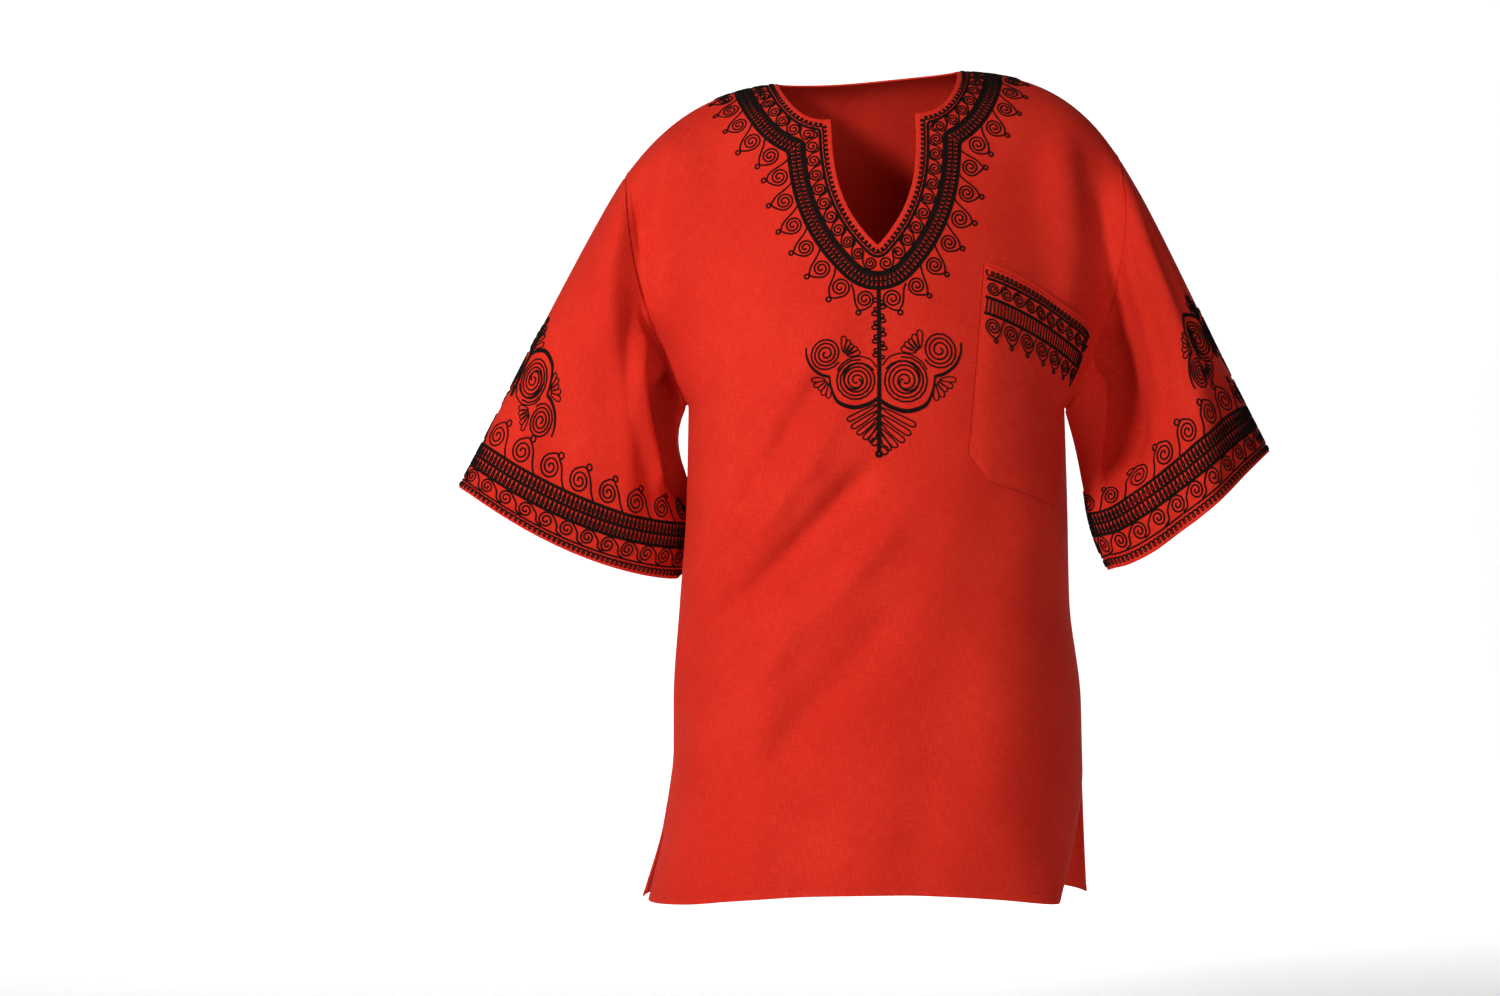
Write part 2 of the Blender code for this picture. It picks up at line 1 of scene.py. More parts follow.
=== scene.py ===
"""Dashiki shirt: the cotton with its creases, hems and sewing, and the black corded embroidery.

Metres, +Z up, front towards -Y, the wearer's left at +X, as in the frame.
The cloth repeats the construction of the solids it stands for, so each sheet lies where its solid is.
Embroidery is set out in real distances across and down the cloth, as on a flat cut.
"""
import logging
import math
from collections.abc import Callable, Iterable
from dataclasses import dataclass, field
from enum import Enum

import bpy
import numpy as np
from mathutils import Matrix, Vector

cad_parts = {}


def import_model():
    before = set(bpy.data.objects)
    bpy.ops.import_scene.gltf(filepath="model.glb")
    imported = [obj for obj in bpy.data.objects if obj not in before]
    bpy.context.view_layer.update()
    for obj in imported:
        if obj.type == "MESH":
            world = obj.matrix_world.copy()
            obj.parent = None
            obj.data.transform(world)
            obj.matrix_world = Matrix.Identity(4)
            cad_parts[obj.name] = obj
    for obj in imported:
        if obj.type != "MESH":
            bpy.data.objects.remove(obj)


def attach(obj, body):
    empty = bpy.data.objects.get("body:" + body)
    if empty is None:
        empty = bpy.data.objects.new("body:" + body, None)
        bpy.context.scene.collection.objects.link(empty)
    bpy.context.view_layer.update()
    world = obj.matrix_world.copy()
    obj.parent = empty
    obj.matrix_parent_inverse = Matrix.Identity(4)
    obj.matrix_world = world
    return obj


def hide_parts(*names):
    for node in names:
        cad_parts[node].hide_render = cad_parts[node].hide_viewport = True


log = logging.getLogger("dashiki")
Array = np.ndarray
Path2D = np.ndarray


class Face(Enum):
    """The shirt's two faces, by the sign of Y that they look towards."""

    FRONT = -1
    BACK = 1


class Side(Enum):
    """The wearer's sides, by the sign of X."""

    RIGHT = -1
    LEFT = 1


class Slot(Enum):
    """The record's material slots."""

    CLOTH = "cloth"
    THREAD = "thread"


def through(knots: Iterable[float], values: Iterable[float], at: Array, level_start: bool = False) -> Array:
    """A smooth curve through a table's rows that never overshoots between two of them.

    Args:
        knots: where the rows lie, rising.
        values: the rows' values.
        at: where the curve is read.
        level_start: whether the curve starts level.

    Returns:
        The curve's values.
    """
    knots, values = np.asarray(list(knots), float), np.asarray(list(values), float)
    step = np.diff(knots)
    chord = np.diff(values) / step
    slope = np.zeros(len(knots))
    turning = chord[:-1] * chord[1:] <= 0
    both = np.where(turning, 1.0, chord[:-1] + chord[1:])
    slope[1:-1] = np.where(turning, 0.0, 2 * chord[:-1] * chord[1:] / both)
    slope[0], slope[-1] = (0.0 if level_start else chord[0]), chord[-1]
    at = np.clip(at, knots[0], knots[-1])
    i = np.clip(np.searchsorted(knots, at) - 1, 0, len(step) - 1)
    h = step[i]
    t = (at - knots[i]) / h
    rise = t * t * (3 - 2 * t)
    pull = slope[i] * h * t * (1 - t) ** 2 - slope[i + 1] * h * t * t * (1 - t)
    return values[i] * (1 - rise) + values[i + 1] * rise + pull


def smooth_step(x: Array) -> Array:
    """Rises from 0 to 1 with level ends."""
    x = np.clip(x, 0, 1)
    return x * x * (3 - 2 * x)


def lengths(points: Array) -> Array:
    """The distance along a line of points to each of them."""
    return np.concatenate([[0], np.cumsum(np.linalg.norm(np.diff(points, axis=0), axis=1))])


@dataclass(frozen=True)
class Fold:
    """A soft ridge or trough that runs between two places seen from the front."""

    face: Face
    x0: float
    z0: float
    x1: float
    z1: float
    width: float
    height: float

    def at(self, x: Array, z: Array) -> Array:
        """How far the fold stands out at a place."""
        run = np.array([self.x1 - self.x0, self.z1 - self.z0])
        length = float(np.hypot(*run))
        along = ((x - self.x0) * run[0] + (z - self.z0) * run[1]) / (run @ run)
        off_end = np.clip(np.abs(along - 0.5) - 0.5, 0, None) * length
        across = ((x - self.x0) * run[1] - (z - self.z0) * run[0]) / length
        return self.height * np.exp(-((off_end / (2 * self.width)) ** 2) - (across / self.width) ** 2)


F, B = Face.FRONT, Face.BACK
MAIN_FOLDS = (
    Fold(F, 0.208, -0.090, 0.228, -0.270, 0.020, -0.018),
    Fold(F, 0.178, -0.090, 0.190, -0.240, 0.022, 0.008),
    Fold(F, 0.246, -0.120, 0.262, -0.300, 0.024, 0.010),
    Fold(F, 0.222, -0.250, 0.242, -0.380, 0.024, -0.022),
    Fold(F, 0.300, -0.250, 0.318, -0.380, 0.022, 0.008),
    Fold(F, 0.274, -0.330, 0.286, -0.430, 0.016, -0.008),
    Fold(F, -0.186, -0.075, -0.192, -0.210, 0.020, 0.010),
    Fold(F, -0.214, -0.120, -0.212, -0.235, 0.018, -0.012),
    Fold(F, -0.228, -0.245, -0.212, -0.380, 0.018, 0.012),
    Fold(F, -0.200, -0.265, -0.180, -0.390, 0.020, -0.020),
    Fold(F, -0.270, -0.200, -0.290, -0.350, 0.022, -0.007),
    Fold(F, -0.176, -0.150, -0.160, -0.270, 0.022, -0.006),
    Fold(F, -0.150, -0.330, -0.100, -0.230, 0.020, 0.005),
    Fold(F, -0.160, -0.420, -0.060, -0.260, 0.024, 0.006),
    Fold(F, -0.140, -0.540, -0.030, -0.420, 0.028, -0.006),
    Fold(F, 0.100, -0.420, 0.076, -0.560, 0.030, -0.006),
    Fold(F, -0.150, -0.640, -0.166, -0.760, 0.024, 0.009),
    Fold(F, -0.060, -0.600, -0.070, -0.760, 0.034, -0.006),
    Fold(F, 0.110, -0.580, 0.136, -0.760, 0.030, 0.008),
    Fold(F, 0.040, -0.640, 0.030, -0.760, 0.026, -0.004),
    Fold(B, 0.190, -0.080, 0.206, -0.230, 0.020, -0.008),
    Fold(B, -0.186, -0.080, -0.206, -0.220, 0.020, -0.008),
    Fold(B, 0.150, -0.250, 0.100, -0.400, 0.024, 0.005),
    Fold(B, -0.146, -0.260, -0.090, -0.440, 0.024, 0.005),
    Fold(B, 0.080, -0.460, 0.104, -0.750, 0.032, 0.008),
    Fold(B, -0.076, -0.520, -0.112, -0.750, 0.030, 0.008),
    Fold(B, 0.014, -0.380, 0.000, -0.750, 0.030, -0.006),
    Fold(B, 0.250, -0.180, 0.280, -0.330, 0.022, 0.009),
    Fold(B, -0.240, -0.170, -0.270, -0.360, 0.024, 0.010),
    Fold(B, -0.300, -0.290, -0.330, -0.400, 0.020, -0.007),
)
CREASES = (
    Fold(F, 0.212, -0.130, 0.226, -0.260, 0.009, -0.005),
    Fold(F, 0.204, -0.080, 0.218, -0.230, 0.018, 0.009),
    Fold(F, 0.240, -0.100, 0.262, -0.290, 0.022, -0.013),
    Fold(F, -0.164, -0.090, -0.170, -0.220, 0.018, 0.006),
    Fold(F, 0.226, -0.280, 0.236, -0.360, 0.010, -0.006),
    Fold(F, -0.212, -0.140, -0.208, -0.205, 0.007, -0.004),
    Fold(F, -0.204, -0.262, -0.186, -0.350, 0.009, -0.007),
    Fold(F, -0.218, -0.250, -0.205, -0.360, 0.006, 0.004),
    Fold(F, -0.186, -0.060, -0.206, -0.180, 0.008, 0.0022),
    Fold(F, -0.150, -0.300, -0.118, -0.236, 0.008, 0.0016),
    Fold(F, -0.128, -0.470, -0.074, -0.384, 0.009, -0.0018),
    Fold(F, -0.070, -0.520, -0.036, -0.450, 0.010, -0.0012),
    Fold(F, 0.130, -0.290, 0.186, -0.270, 0.009, -0.0014),
    Fold(F, 0.150, -0.420, 0.188, -0.360, 0.010, 0.0016),
    Fold(F, 0.196, -0.080, 0.206, -0.180, 0.008, -0.0020),
    Fold(F, -0.184, -0.550, -0.030, -0.385, 0.013, -0.0085),
    Fold(F, -0.168, -0.485, -0.070, -0.370, 0.013, 0.0060),
    Fold(F, -0.160, -0.600, 0.000, -0.430, 0.015, 0.0060),
    Fold(F, -0.150, -0.690, -0.010, -0.520, 0.018, -0.0055),
    Fold(F, -0.140, -0.430, -0.055, -0.285, 0.011, -0.0046),
    Fold(F, -0.116, -0.450, -0.034, -0.310, 0.010, 0.0026),
    Fold(F, -0.110, -0.480, -0.016, -0.372, 0.012, -0.0034),
    Fold(F, -0.128, -0.250, -0.112, -0.370, 0.012, -0.0035),
    Fold(F, -0.088, -0.300, -0.074, -0.400, 0.012, -0.0022),
    Fold(F, 0.116, -0.600, 0.138, -0.760, 0.030, -0.0055),
    Fold(F, -0.178, -0.420, -0.150, -0.600, 0.016, -0.0040),
    Fold(F, -0.096, -0.520, -0.116, -0.720, 0.018, 0.0035),
    Fold(F, 0.096, -0.440, 0.080, -0.560, 0.028, 0.0030),
    Fold(B, 0.120, -0.210, 0.060, -0.250, 0.010, 0.0014),
    Fold(B, -0.130, -0.200, -0.070, -0.246, 0.011, 0.0015),
    Fold(B, 0.148, -0.520, 0.120, -0.640, 0.011, -0.0016),
    Fold(B, -0.150, -0.440, -0.120, -0.560, 0.010, -0.0014),
)


SLEEVE_CREASES = {
    Side.RIGHT: (
        Fold(F, 0.240, 0.024, 0.250, 0.110, 0.026, -0.038),
        Fold(F, 0.166, 0.044, 0.200, 0.155, 0.010, 0.014),
        Fold(F, 0.055, 0.190, 0.120, 0.135, 0.026, -0.006),
        Fold(B, 0.360, 0.060, 0.395, 0.200, 0.016, -0.006),
        Fold(B, 0.440, 0.050, 0.465, 0.200, 0.020, 0.005),
    ),
    Side.LEFT: (
        Fold(F, 0.210, 0.006, 0.216, 0.095, 0.034, -0.032),
        Fold(F, 0.120, 0.030, 0.160, 0.165, 0.016, 0.006),
        Fold(F, 0.060, 0.080, 0.095, 0.215, 0.014, -0.004),
        Fold(F, 0.130, 0.215, 0.148, 0.280, 0.014, 0.005),
        Fold(F, 0.165, 0.215, 0.180, 0.280, 0.012, -0.005),
        Fold(B, 0.370, 0.050, 0.410, 0.190, 0.018, -0.006),
        Fold(B, 0.460, 0.060, 0.440, 0.200, 0.020, 0.005),
    ),
}


@dataclass(frozen=True)
class Drape:
    """How the cloth is pushed in and out along Y, and how the shoulders tilt.

    All of it depends on a point's place alone, so cloths that meet still meet.
    """

    folds: tuple[Fold, ...] = MAIN_FOLDS + CREASES
    depth_fade: float = 0.035
    tilt: float = 0.006
    tilt_span: float = 0.060
    tilt_fade: float = 0.250
    mid_y: tuple[float, float] = (0.025, 0.005)
    ripple: float = 0.0005

    def middle(self, x: Array) -> Array:
        """Y of the plane between a sleeve's front and back."""
        return np.where(x > 0, self.mid_y[1], self.mid_y[0]) * np.clip((np.abs(x) - 0.2) / 0.1, 0, 1)

    def ripples(self, x: Array, z: Array) -> Array:
        """The slight unevenness of cotton that hangs free."""
        waves = np.sin(61 * x + 23 * z + 1.3) * np.sin(37 * z - 19 * x) + np.sin(83 * x - 47 * z + 0.6) / 2
        return self.ripple * waves

    def __call__(self, points: Array) -> Array:
        """Returns the points pushed and tilted."""
        x, y, z = points[..., 0], points[..., 1], points[..., 2]
        forward = np.zeros_like(x)
        for face in Face:
            weight = smooth_step(face.value * (y - self.middle(x)) / self.depth_fade)
            height = self.ripples(x, z) + sum(f.at(x, z) for f in self.folds if f.face is face)
            forward = forward + face.value * height * weight
        tilt = self.tilt * np.tanh(x / self.tilt_span) * np.clip(1 + z / self.tilt_fade, 0, 1)
        return np.stack([x, y + forward, z + tilt], -1)


class Form:
    """A smooth surface over the unit square, read between points that are worked out once."""

    def __init__(self, points: Array, outward: int) -> None:
        """Keeps the points and their outward normals.

        Args:
            points: a grid of points, rows by columns.
            outward: 1 or -1, which turns the cross product of down and across outwards.
        """
        normals = np.cross(np.gradient(points, axis=0), np.gradient(points, axis=1)) * outward
        normals /= np.linalg.norm(normals, axis=-1, keepdims=True) + 1e-12
        self.grid = np.concatenate([points, normals], -1)

    def at(self, down: Array, across: Array) -> tuple[Array, Array]:
        """Points and normals at shares down the rows and across the columns.

        Args:
            down: share from the first row to the last.
            across: share from the first column to the last.

        Returns:
            The points and the outward normals.
        """
        down, across = np.broadcast_arrays(np.asarray(down, float), np.asarray(across, float))
        rows, columns = self.grid.shape[:2]
        i, fi = self.cell(down, rows)
        j, fj = self.cell(across, columns)
        found = np.zeros(down.shape + (6,))
        for a, wa in enumerate(self.taps(fi)):
            row = np.clip(i + a - 1, 0, rows - 1)
            for b, wb in enumerate(self.taps(fj)):
                found += self.grid[row, np.clip(j + b - 1, 0, columns - 1)] * (wa * wb)[..., None]
        normal = found[..., 3:]
        return found[..., :3], normal / (np.linalg.norm(normal, axis=-1, keepdims=True) + 1e-12)

    @staticmethod
    def cell(share: Array, count: int) -> tuple[Array, Array]:
        """The grid cell that a share falls in, and the place in that cell."""
        place = np.clip(share, 0, 1) * (count - 1)
        index = np.clip(np.floor(place).astype(int), 0, count - 2)
        return index, place - index

    @staticmethod
    def taps(f: Array) -> tuple[Array, Array, Array, Array]:
        """The weights of four neighbours on a smooth curve."""
        return (
            ((2 - f) * f - 1) * f / 2,
            ((3 * f - 5) * f * f + 2) / 2,
            ((4 - 3 * f) * f + 1) * f / 2,
            (f - 1) * f * f / 2,
        )


@dataclass(frozen=True)
class SideCut:
    """The sizes of the torso that differ between the wearer's right and left."""

    tip_x: float
    drop: float
    curve: float
    underarm_x: float
    lean: float
    seam_behind: float
    widths: tuple[float, ...]
    front_vent: tuple[float, float]
    back_vent: tuple[float, float]


@dataclass
class Torso:
    """The front and back: rows 0 to 1 run from the shoulder to the underarm, and 1 to 2 to the hem."""

    drape: Drape
    sides: dict[Side, SideCut] = field(
        default_factory=lambda: {
            Side.RIGHT: SideCut(
                0.224, 0.090, 3.6, 0.165, 2, 0.006,
                (0.165, 0.167, 0.173, 0.179, 0.179, 0.188, 0.209), (0.006, 0.018), (0.002, 0.012),
            ),
            Side.LEFT: SideCut(
                0.235, 0.080, 4.5, 0.187, 3, 0.024,
                (0.187, 0.190, 0.192, 0.203, 0.204, 0.206, 0.208), (0.035, 0.074), (-0.003, 0.010),
            ),
        }
    )
    width_levels: tuple[float, ...] = (-0.306, -0.400, -0.486, -0.580, -0.620, -0.690, -0.762)
    centre_rows: tuple[float, ...] = (0, 0.10, 0.20, 0.35, 0.50, 0.70, 0.85, 1.0, 1.45, 1.75, 2.0)
    front_z: tuple[float, ...] = (
        0, -0.010, -0.032, -0.075, -0.128, -0.196, -0.238, -0.284, -0.490, -0.630, -0.746,
    )
    front_y: tuple[float, ...] = (
        0, -0.030, -0.058, -0.082, -0.101, -0.118, -0.124, -0.126, -0.124, -0.129, -0.136,
    )
    back_z: tuple[float, ...] = (
        0, -0.008, -0.026, -0.068, -0.122, -0.196, -0.246, -0.298, -0.500, -0.636, -0.750,
    )
    back_y: tuple[float, ...] = (0, 0.028, 0.052, 0.078, 0.094, 0.102, 0.103, 0.102, 0.104, 0.114, 0.124)
    armhole_depth: float = 0.060
    armhole_pace: float = 0.65
    armhole_reach: float = 5.0
    underarm_z: float = -0.306
    side_hem_z: float = -0.762
    vent_length: float = 0.118
    vent_curl: float = 1.6
    squareness: float = 2.4
    straight_rows: float = 0.6
    row_steps: int = 520
    column_steps: int = 200

    def __post_init__(self) -> None:
        """Works out the four quarters of the torso."""
        self.rows = np.linspace(0, 2, self.row_steps + 1)
        self.forms: dict[tuple[Face, Side], Form] = {}
        self.widths: dict[tuple[Face, Side], Array] = {}
        for face in Face:
            for side in Side:
                self.work_out(face, side)

    def centre_line(self, face: Face, r: Array) -> tuple[Array, Array]:
        """Y and Z of the centre front or centre back."""
        y, z = (self.front_y, self.front_z) if face is F else (self.back_y, self.back_z)
        return through(self.centre_rows, y, r), through(self.centre_rows, z, r, level_start=True)

    def edge(self, face: Face, side: Side, r: Array) -> Array:
        """The panel's side edge: the armhole down to row 1, then the side seam and the vent."""
        cut = self.sides[side]
        round_it = np.clip(r, 0, 1) ** self.armhole_pace
        fallen = 1 - np.cos(math.pi / 2 * round_it)
        armhole = (
            cut.tip_x + (cut.underarm_x - cut.tip_x) * fallen**cut.lean,
            face.value * self.armhole_depth * np.sin(math.pi * round_it) + cut.seam_behind * fallen,
            -cut.drop + (self.underarm_z + cut.drop) * fallen,
        )
        seam_z = self.underarm_z + (self.side_hem_z - self.underarm_z) * np.clip(r - 1, 0, 1)
        seam_x = through([-z for z in self.width_levels], cut.widths, -seam_z)
        vent_row = 2 - self.vent_length / (self.underarm_z - self.side_hem_z)
        opened = np.clip((r - vent_row) / (2 - vent_row), 0, 1) ** self.vent_curl
        swing_in, apart = cut.front_vent if face is F else cut.back_vent
        seam = (seam_x - swing_in * opened, cut.seam_behind + face.value * apart * opened, seam_z)
        x, y, z = (np.where(r <= 1, a, b) for a, b in zip(armhole, seam))
        return np.stack([side.value * x, y, z], -1)

    def row_curve(self, face: Face, side: Side, r: Array, theta: Array) -> Array:
        """Points of a half row, from the centre line at theta 0 to the side edge at a quarter turn."""
        y_mid, z_mid = self.centre_line(face, r)
        edge = self.edge(face, side, r)
        out = np.sin(theta)
        upper = np.clip(r, 0, 1)
        turned = np.clip((upper - self.straight_rows) / (1 - self.straight_rows), 0, 1) ** 2
        lift = 2 + (self.sides[side].curve - 2) * np.cos(math.pi * upper / 2) ** 2
        curved = np.clip(1 - out**self.squareness, 0, 1) ** (1 - turned / 2)
        y = y_mid * curved + edge[..., 1] * out**self.armhole_reach
        z = z_mid + (edge[..., 2] - z_mid) * out**lift
        return np.stack([edge[..., 0] * out, y, z], -1)

    def half_rows(self, face: Face, side: Side, r: Array) -> tuple[Array, Array]:
        """A half row's points at even angles, and the cloth's length to each."""
        theta = np.linspace(0, math.pi / 2, 97)
        points = self.row_curve(face, side, np.asarray(r)[..., None], theta)
        steps = np.linalg.norm(np.diff(points, axis=-2), axis=-1)
        return points, np.concatenate([np.zeros(steps.shape[:-1] + (1,)), np.cumsum(steps, -1)], -1)

    def work_out(self, face: Face, side: Side) -> None:
        """Works out one quarter on an even grid of shares across and rows down."""
        points, reach = self.half_rows(face, side, self.rows)
        share = np.linspace(0, 1, self.column_steps + 1)
        grid = np.empty((len(self.rows), len(share), 3))
        for n, (line, far) in enumerate(zip(points, reach)):
            for k in range(3):
                grid[n, :, k] = np.interp(share * far[-1], far, line[:, k])
        self.widths[face, side] = reach[:, -1]
        self.forms[face, side] = Form(self.drape(grid), -face.value * side.value)

    def width(self, face: Face, side: Side, r: Array) -> Array:
        """The cloth's width from the centre line to the side edge at a row."""
        return np.interp(r, self.rows, self.widths[face, side])

    def down_the_cloth(self, face: Face) -> tuple[Array, Array]:
        """Rows, and the length of cloth down the centre line to each."""
        rows = np.linspace(0, 2, 401)
        y, z = self.centre_line(face, rows)
        return rows, np.concatenate([[0], np.cumsum(np.hypot(np.diff(y), np.diff(z)))])

    def row_at(self, face: Face, drop: Array) -> Array:
        """The row at a distance down the cloth from the shoulder line."""
        rows, length = self.down_the_cloth(face)
        return np.interp(drop, length, rows)

    def drop_at(self, face: Face, r: Array) -> Array:
        """The distance down the cloth from the shoulder line to a row."""
        rows, length = self.down_the_cloth(face)
        return np.interp(r, rows, length)

    def read(self, face: Face, side: Side, across: Array, r: Array) -> tuple[Array, Array]:
        """Points and normals at shares across and rows down."""
        return self.forms[face, side].at(np.asarray(r) / 2, across)

    def chart(self, plane: Array) -> tuple[Array, Array]:
        """Points and normals for places on the torso laid flat.

        Args:
            plane: distances across the cloth, left positive, and down it from the shoulder line;
                a negative distance down is on the back.

        Returns:
            The points and the outward normals.
        """
        s, t = plane[:, 0], plane[:, 1]
        points, normals = np.zeros((len(s), 3)), np.zeros((len(s), 3))
        for face in Face:
            for side in Side:
                here = ((t >= 0) == (face is F)) & ((s > 0) == (side is Side.LEFT))
                if here.any():
                    r = self.row_at(face, np.abs(t[here]))
                    across = np.abs(s[here]) / self.width(face, side, r)
                    points[here], normals[here] = self.read(face, side, across, r)
        return points, normals


@dataclass(frozen=True)
class NeckCut:
    """The neck opening, in distances across and down the cloth from the shoulder line."""

    half: float = 0.083
    slit_half: float = 0.0385
    drop: float = 0.080
    slit_end: float = 0.208
    back_drop: float = 0.020

    def front(self, round_steps: int, slit_steps: int) -> tuple[Array, Array]:
        """The front edge from the neck point to the end of the slit."""
        turn = np.linspace(0, math.pi / 2, round_steps + 1)
        down = np.linspace(0, 1, slit_steps + 1)[1:]
        round_s = self.slit_half + (self.half - self.slit_half) * np.cos(turn) ** 0.8
        slit_s = self.slit_half * (1 - down**3.2)
        t = np.concatenate([self.drop * np.sin(turn) ** 0.9, self.drop + (self.slit_end - self.drop) * down])
        return np.concatenate([round_s, slit_s]), t

    def back(self, steps: int) -> tuple[Array, Array]:
        """The back edge from the neck point to the centre back."""
        turn = np.linspace(0, math.pi / 2, steps + 1)
        return self.half * np.cos(turn) ** 0.9, self.back_drop * np.sin(turn) ** 0.9

    def half_loop(self, corner_steps: int = 24) -> tuple[Array, Array]:
        """Half of the opening from the end of the slit round to the centre back, with its normals.

        Returns:
            Points on the flat cloth, and normals that point away from the opening.
        """
        front_s, front_t = self.front(60, 110)
        back_s, back_t = self.back(60)
        line = np.stack([np.concatenate([front_s[::-1], back_s[1:]]), np.concatenate([front_t[::-1], -back_t[1:]])], -1)
        along = np.gradient(line, axis=0)
        along[0] = line[1] - line[0]
        along /= np.linalg.norm(along, axis=1, keepdims=True)
        normal = np.stack([along[:, 1], -along[:, 0]], -1)
        normal *= np.sign((normal * (line - np.array([0.0, 0.05]))).sum(1, keepdims=True))
        first = math.atan2(normal[0, 0], normal[0, 1])
        turn = np.linspace(0, first, corner_steps)[:-1]
        fan = np.stack([np.sin(turn), np.cos(turn)], -1)
        return np.concatenate([np.repeat(line[:1], len(fan), 0), line]), np.concatenate([fan, normal])


@dataclass(frozen=True)
class CuffCut:
    """A cuff's corner on the sleeve's top line, its corner below the arm, and its sag and wave."""

    outer: tuple[float, float, float]
    inner: tuple[float, float, float]
    half_depth: float
    front_sag: float
    back_sag: float
    wave: float
    axis: tuple[float, float, float]
    under: tuple[float, float, float]


class Sleeve:
    """A wide sleeve from its armhole to its cuff, worked out on an even grid of turns and shares."""

    CUFFS = {
        Side.RIGHT: CuffCut(
            (-0.377, 0.000, -0.381), (-0.173, 0.062, -0.466), 0.054, 0.014, 0.012, 0.0,
            (-0.483, 0.0, -0.876), (-0.46, 0.50, -0.80),
        ),
        Side.LEFT: CuffCut(
            (0.380, 0.050, -0.353), (0.227, -0.040, -0.455), 0.066, -0.004, 0.012, 0.005,
            (0.476, 0.0, -0.879), (0.30, -0.09, -0.95),
        ),
    }
    TAKE_OFF, LANDING, TOP_PULL = 0.24, 0.26, 0.6
    ARRIVAL_RUN, OVERLAP = 0.04, 0.05
    CREASE_ROUND, CREASE_DOWN, UNDER_HOLD, CUFF_HOLD = 0.55, 0.27, 0.06, 0.50
    UNDER_PUSH = {Side.RIGHT: 0.0055, Side.LEFT: 0.0}

    def __init__(self, torso: Torso, side: Side, turns: int = 440, shares: int = 200) -> None:
        """Works out the sleeve.

        Args:
            torso: what the sleeve is sewn to.
            side: the wearer's side.
            turns: steps round the sleeve.
            shares: steps from armhole to cuff.
        """
        self.torso, self.side, self.cuff = torso, side, self.CUFFS[side]
        self.armhole = self.even(self.armhole_half(F)), self.even(self.armhole_half(B)[::-1])
        self.cuff_halves = self.cuff_ring()
        turn = np.linspace(-self.OVERLAP, 1 + self.OVERLAP, turns + 1)[None, :]
        along = np.linspace(0, 1, shares + 1)[:, None]
        grid = self.surface(*np.broadcast_arrays(turn, along))
        self.form = Form(self.creased(torso.drape(grid), turn, along), -side.value)
        self.cuff_girth = lengths(grid[-1]).max() / (1 + 2 * self.OVERLAP)
        self.runs = np.array([lengths(grid[:, n])[-1] for n in range(turns + 1)])
        self.turns = turn[0]

    def creased(self, grid: Array, turn: Array, along: Array) -> Array:
        """The draped sleeve pushed in and out square to itself by its own creases."""
        plain = Form(grid, -self.side.value)
        x, z = np.mod(turn, 1) * self.CREASE_ROUND, along * self.CREASE_DOWN
        height = sum(fold.at(x, z) for fold in SLEEVE_CREASES[self.side]) * smooth_step(along / 0.07)
        height = height * smooth_step(np.abs(np.mod(turn, 1) - 0.5) / self.UNDER_HOLD)
        height = height * smooth_step((1 - along) / self.CUFF_HOLD)
        below = np.exp(-(((np.mod(turn, 1) - 0.5) / 0.07) ** 2))
        height = height + self.UNDER_PUSH[self.side] * below * np.sin(math.pi * np.clip(along / 0.8, 0, 1))
        return grid + plain.grid[..., 3:] * height[..., None]

    def armhole_half(self, face: Face, steps: int = 361) -> Array:
        """The armhole on one panel from the shoulder tip to the underarm."""
        return self.torso.edge(face, self.side, np.linspace(0, 1, steps))

    @staticmethod
    def even(points: Array) -> Callable[[Array], Array]:
        """A function from 0 to 1 to a line's points at that share of its length."""
        reach = lengths(points)
        return lambda share: np.stack([np.interp(share * reach[-1], reach, points[:, k]) for k in range(3)], -1)

    def cuff_ring(self, steps: int = 361) -> tuple[Callable[[Array], Array], Callable[[Array], Array]]:
        """The front and back halves of the cuff's edge."""
        cuff = self.cuff
        outer, inner, axis = (np.array(v) for v in (cuff.outer, cuff.inner, cuff.axis))
        long = (outer - inner) / 2
        short = np.cross(axis, long)
        short *= -cuff.half_depth * np.sign(short[1]) / np.linalg.norm(short)
        angle = np.linspace(0, math.pi, steps)[:, None]
        line = (outer + inner) / 2 + long * np.cos(angle)
        sag = axis * np.sin(angle) ** 2
        wave = axis * np.sin(2 * angle) * cuff.wave
        front = line + short * np.sin(angle) + sag * cuff.front_sag - wave
        back = line - short * np.sin(angle) + sag * cuff.back_sag
        return self.even(front), self.even(back[::-1])

    @staticmethod
    def around(halves: tuple[Callable, Callable], turn: Array) -> Array:
        """Points on a ring at a turn; 0 is the top line and a half is under the arm."""
        turn = np.mod(turn, 1)
        front = halves[0](np.clip(2 * turn, 0, 1))
        back = halves[1](np.clip(2 * turn - 1, 0, 1))
        return np.where((turn < 0.5)[..., None], front, back)

    def turn_of(self, face: Face, r: Array) -> Array:
        """The turn at which the panel's row meets the sleeve."""
        rows = np.linspace(0, 1, 361)
        reach = lengths(self.torso.edge(face, self.side, rows))
        share = np.interp(r, rows, reach / reach[-1])
        return share / 2 if face is F else 1 - share / 2

    def leaving_panel(self, turn: Array) -> Array:
        """The direction in which the panel's cloth arrives at the armhole."""
        turns, directions = [], []
        for face, rows in ((F, np.linspace(0, 1, 121)), (B, np.linspace(1, 0, 121))):
            points, reach = self.torso.half_rows(face, self.side, rows)
            step = np.empty((len(rows), 3))
            for n, (line, far) in enumerate(zip(points, reach)):
                inner = (1 - self.ARRIVAL_RUN) * far[-1]
                step[n] = line[-1] - [np.interp(inner, far, line[:, k]) for k in range(3)]
            turns.append(self.turn_of(face, rows))
            directions.append(step / np.linalg.norm(step, axis=1, keepdims=True))
        turns, directions = np.concatenate(turns), np.concatenate(directions)
        return np.stack([np.interp(np.mod(turn, 1), turns, directions[:, k]) for k in range(3)], -1)

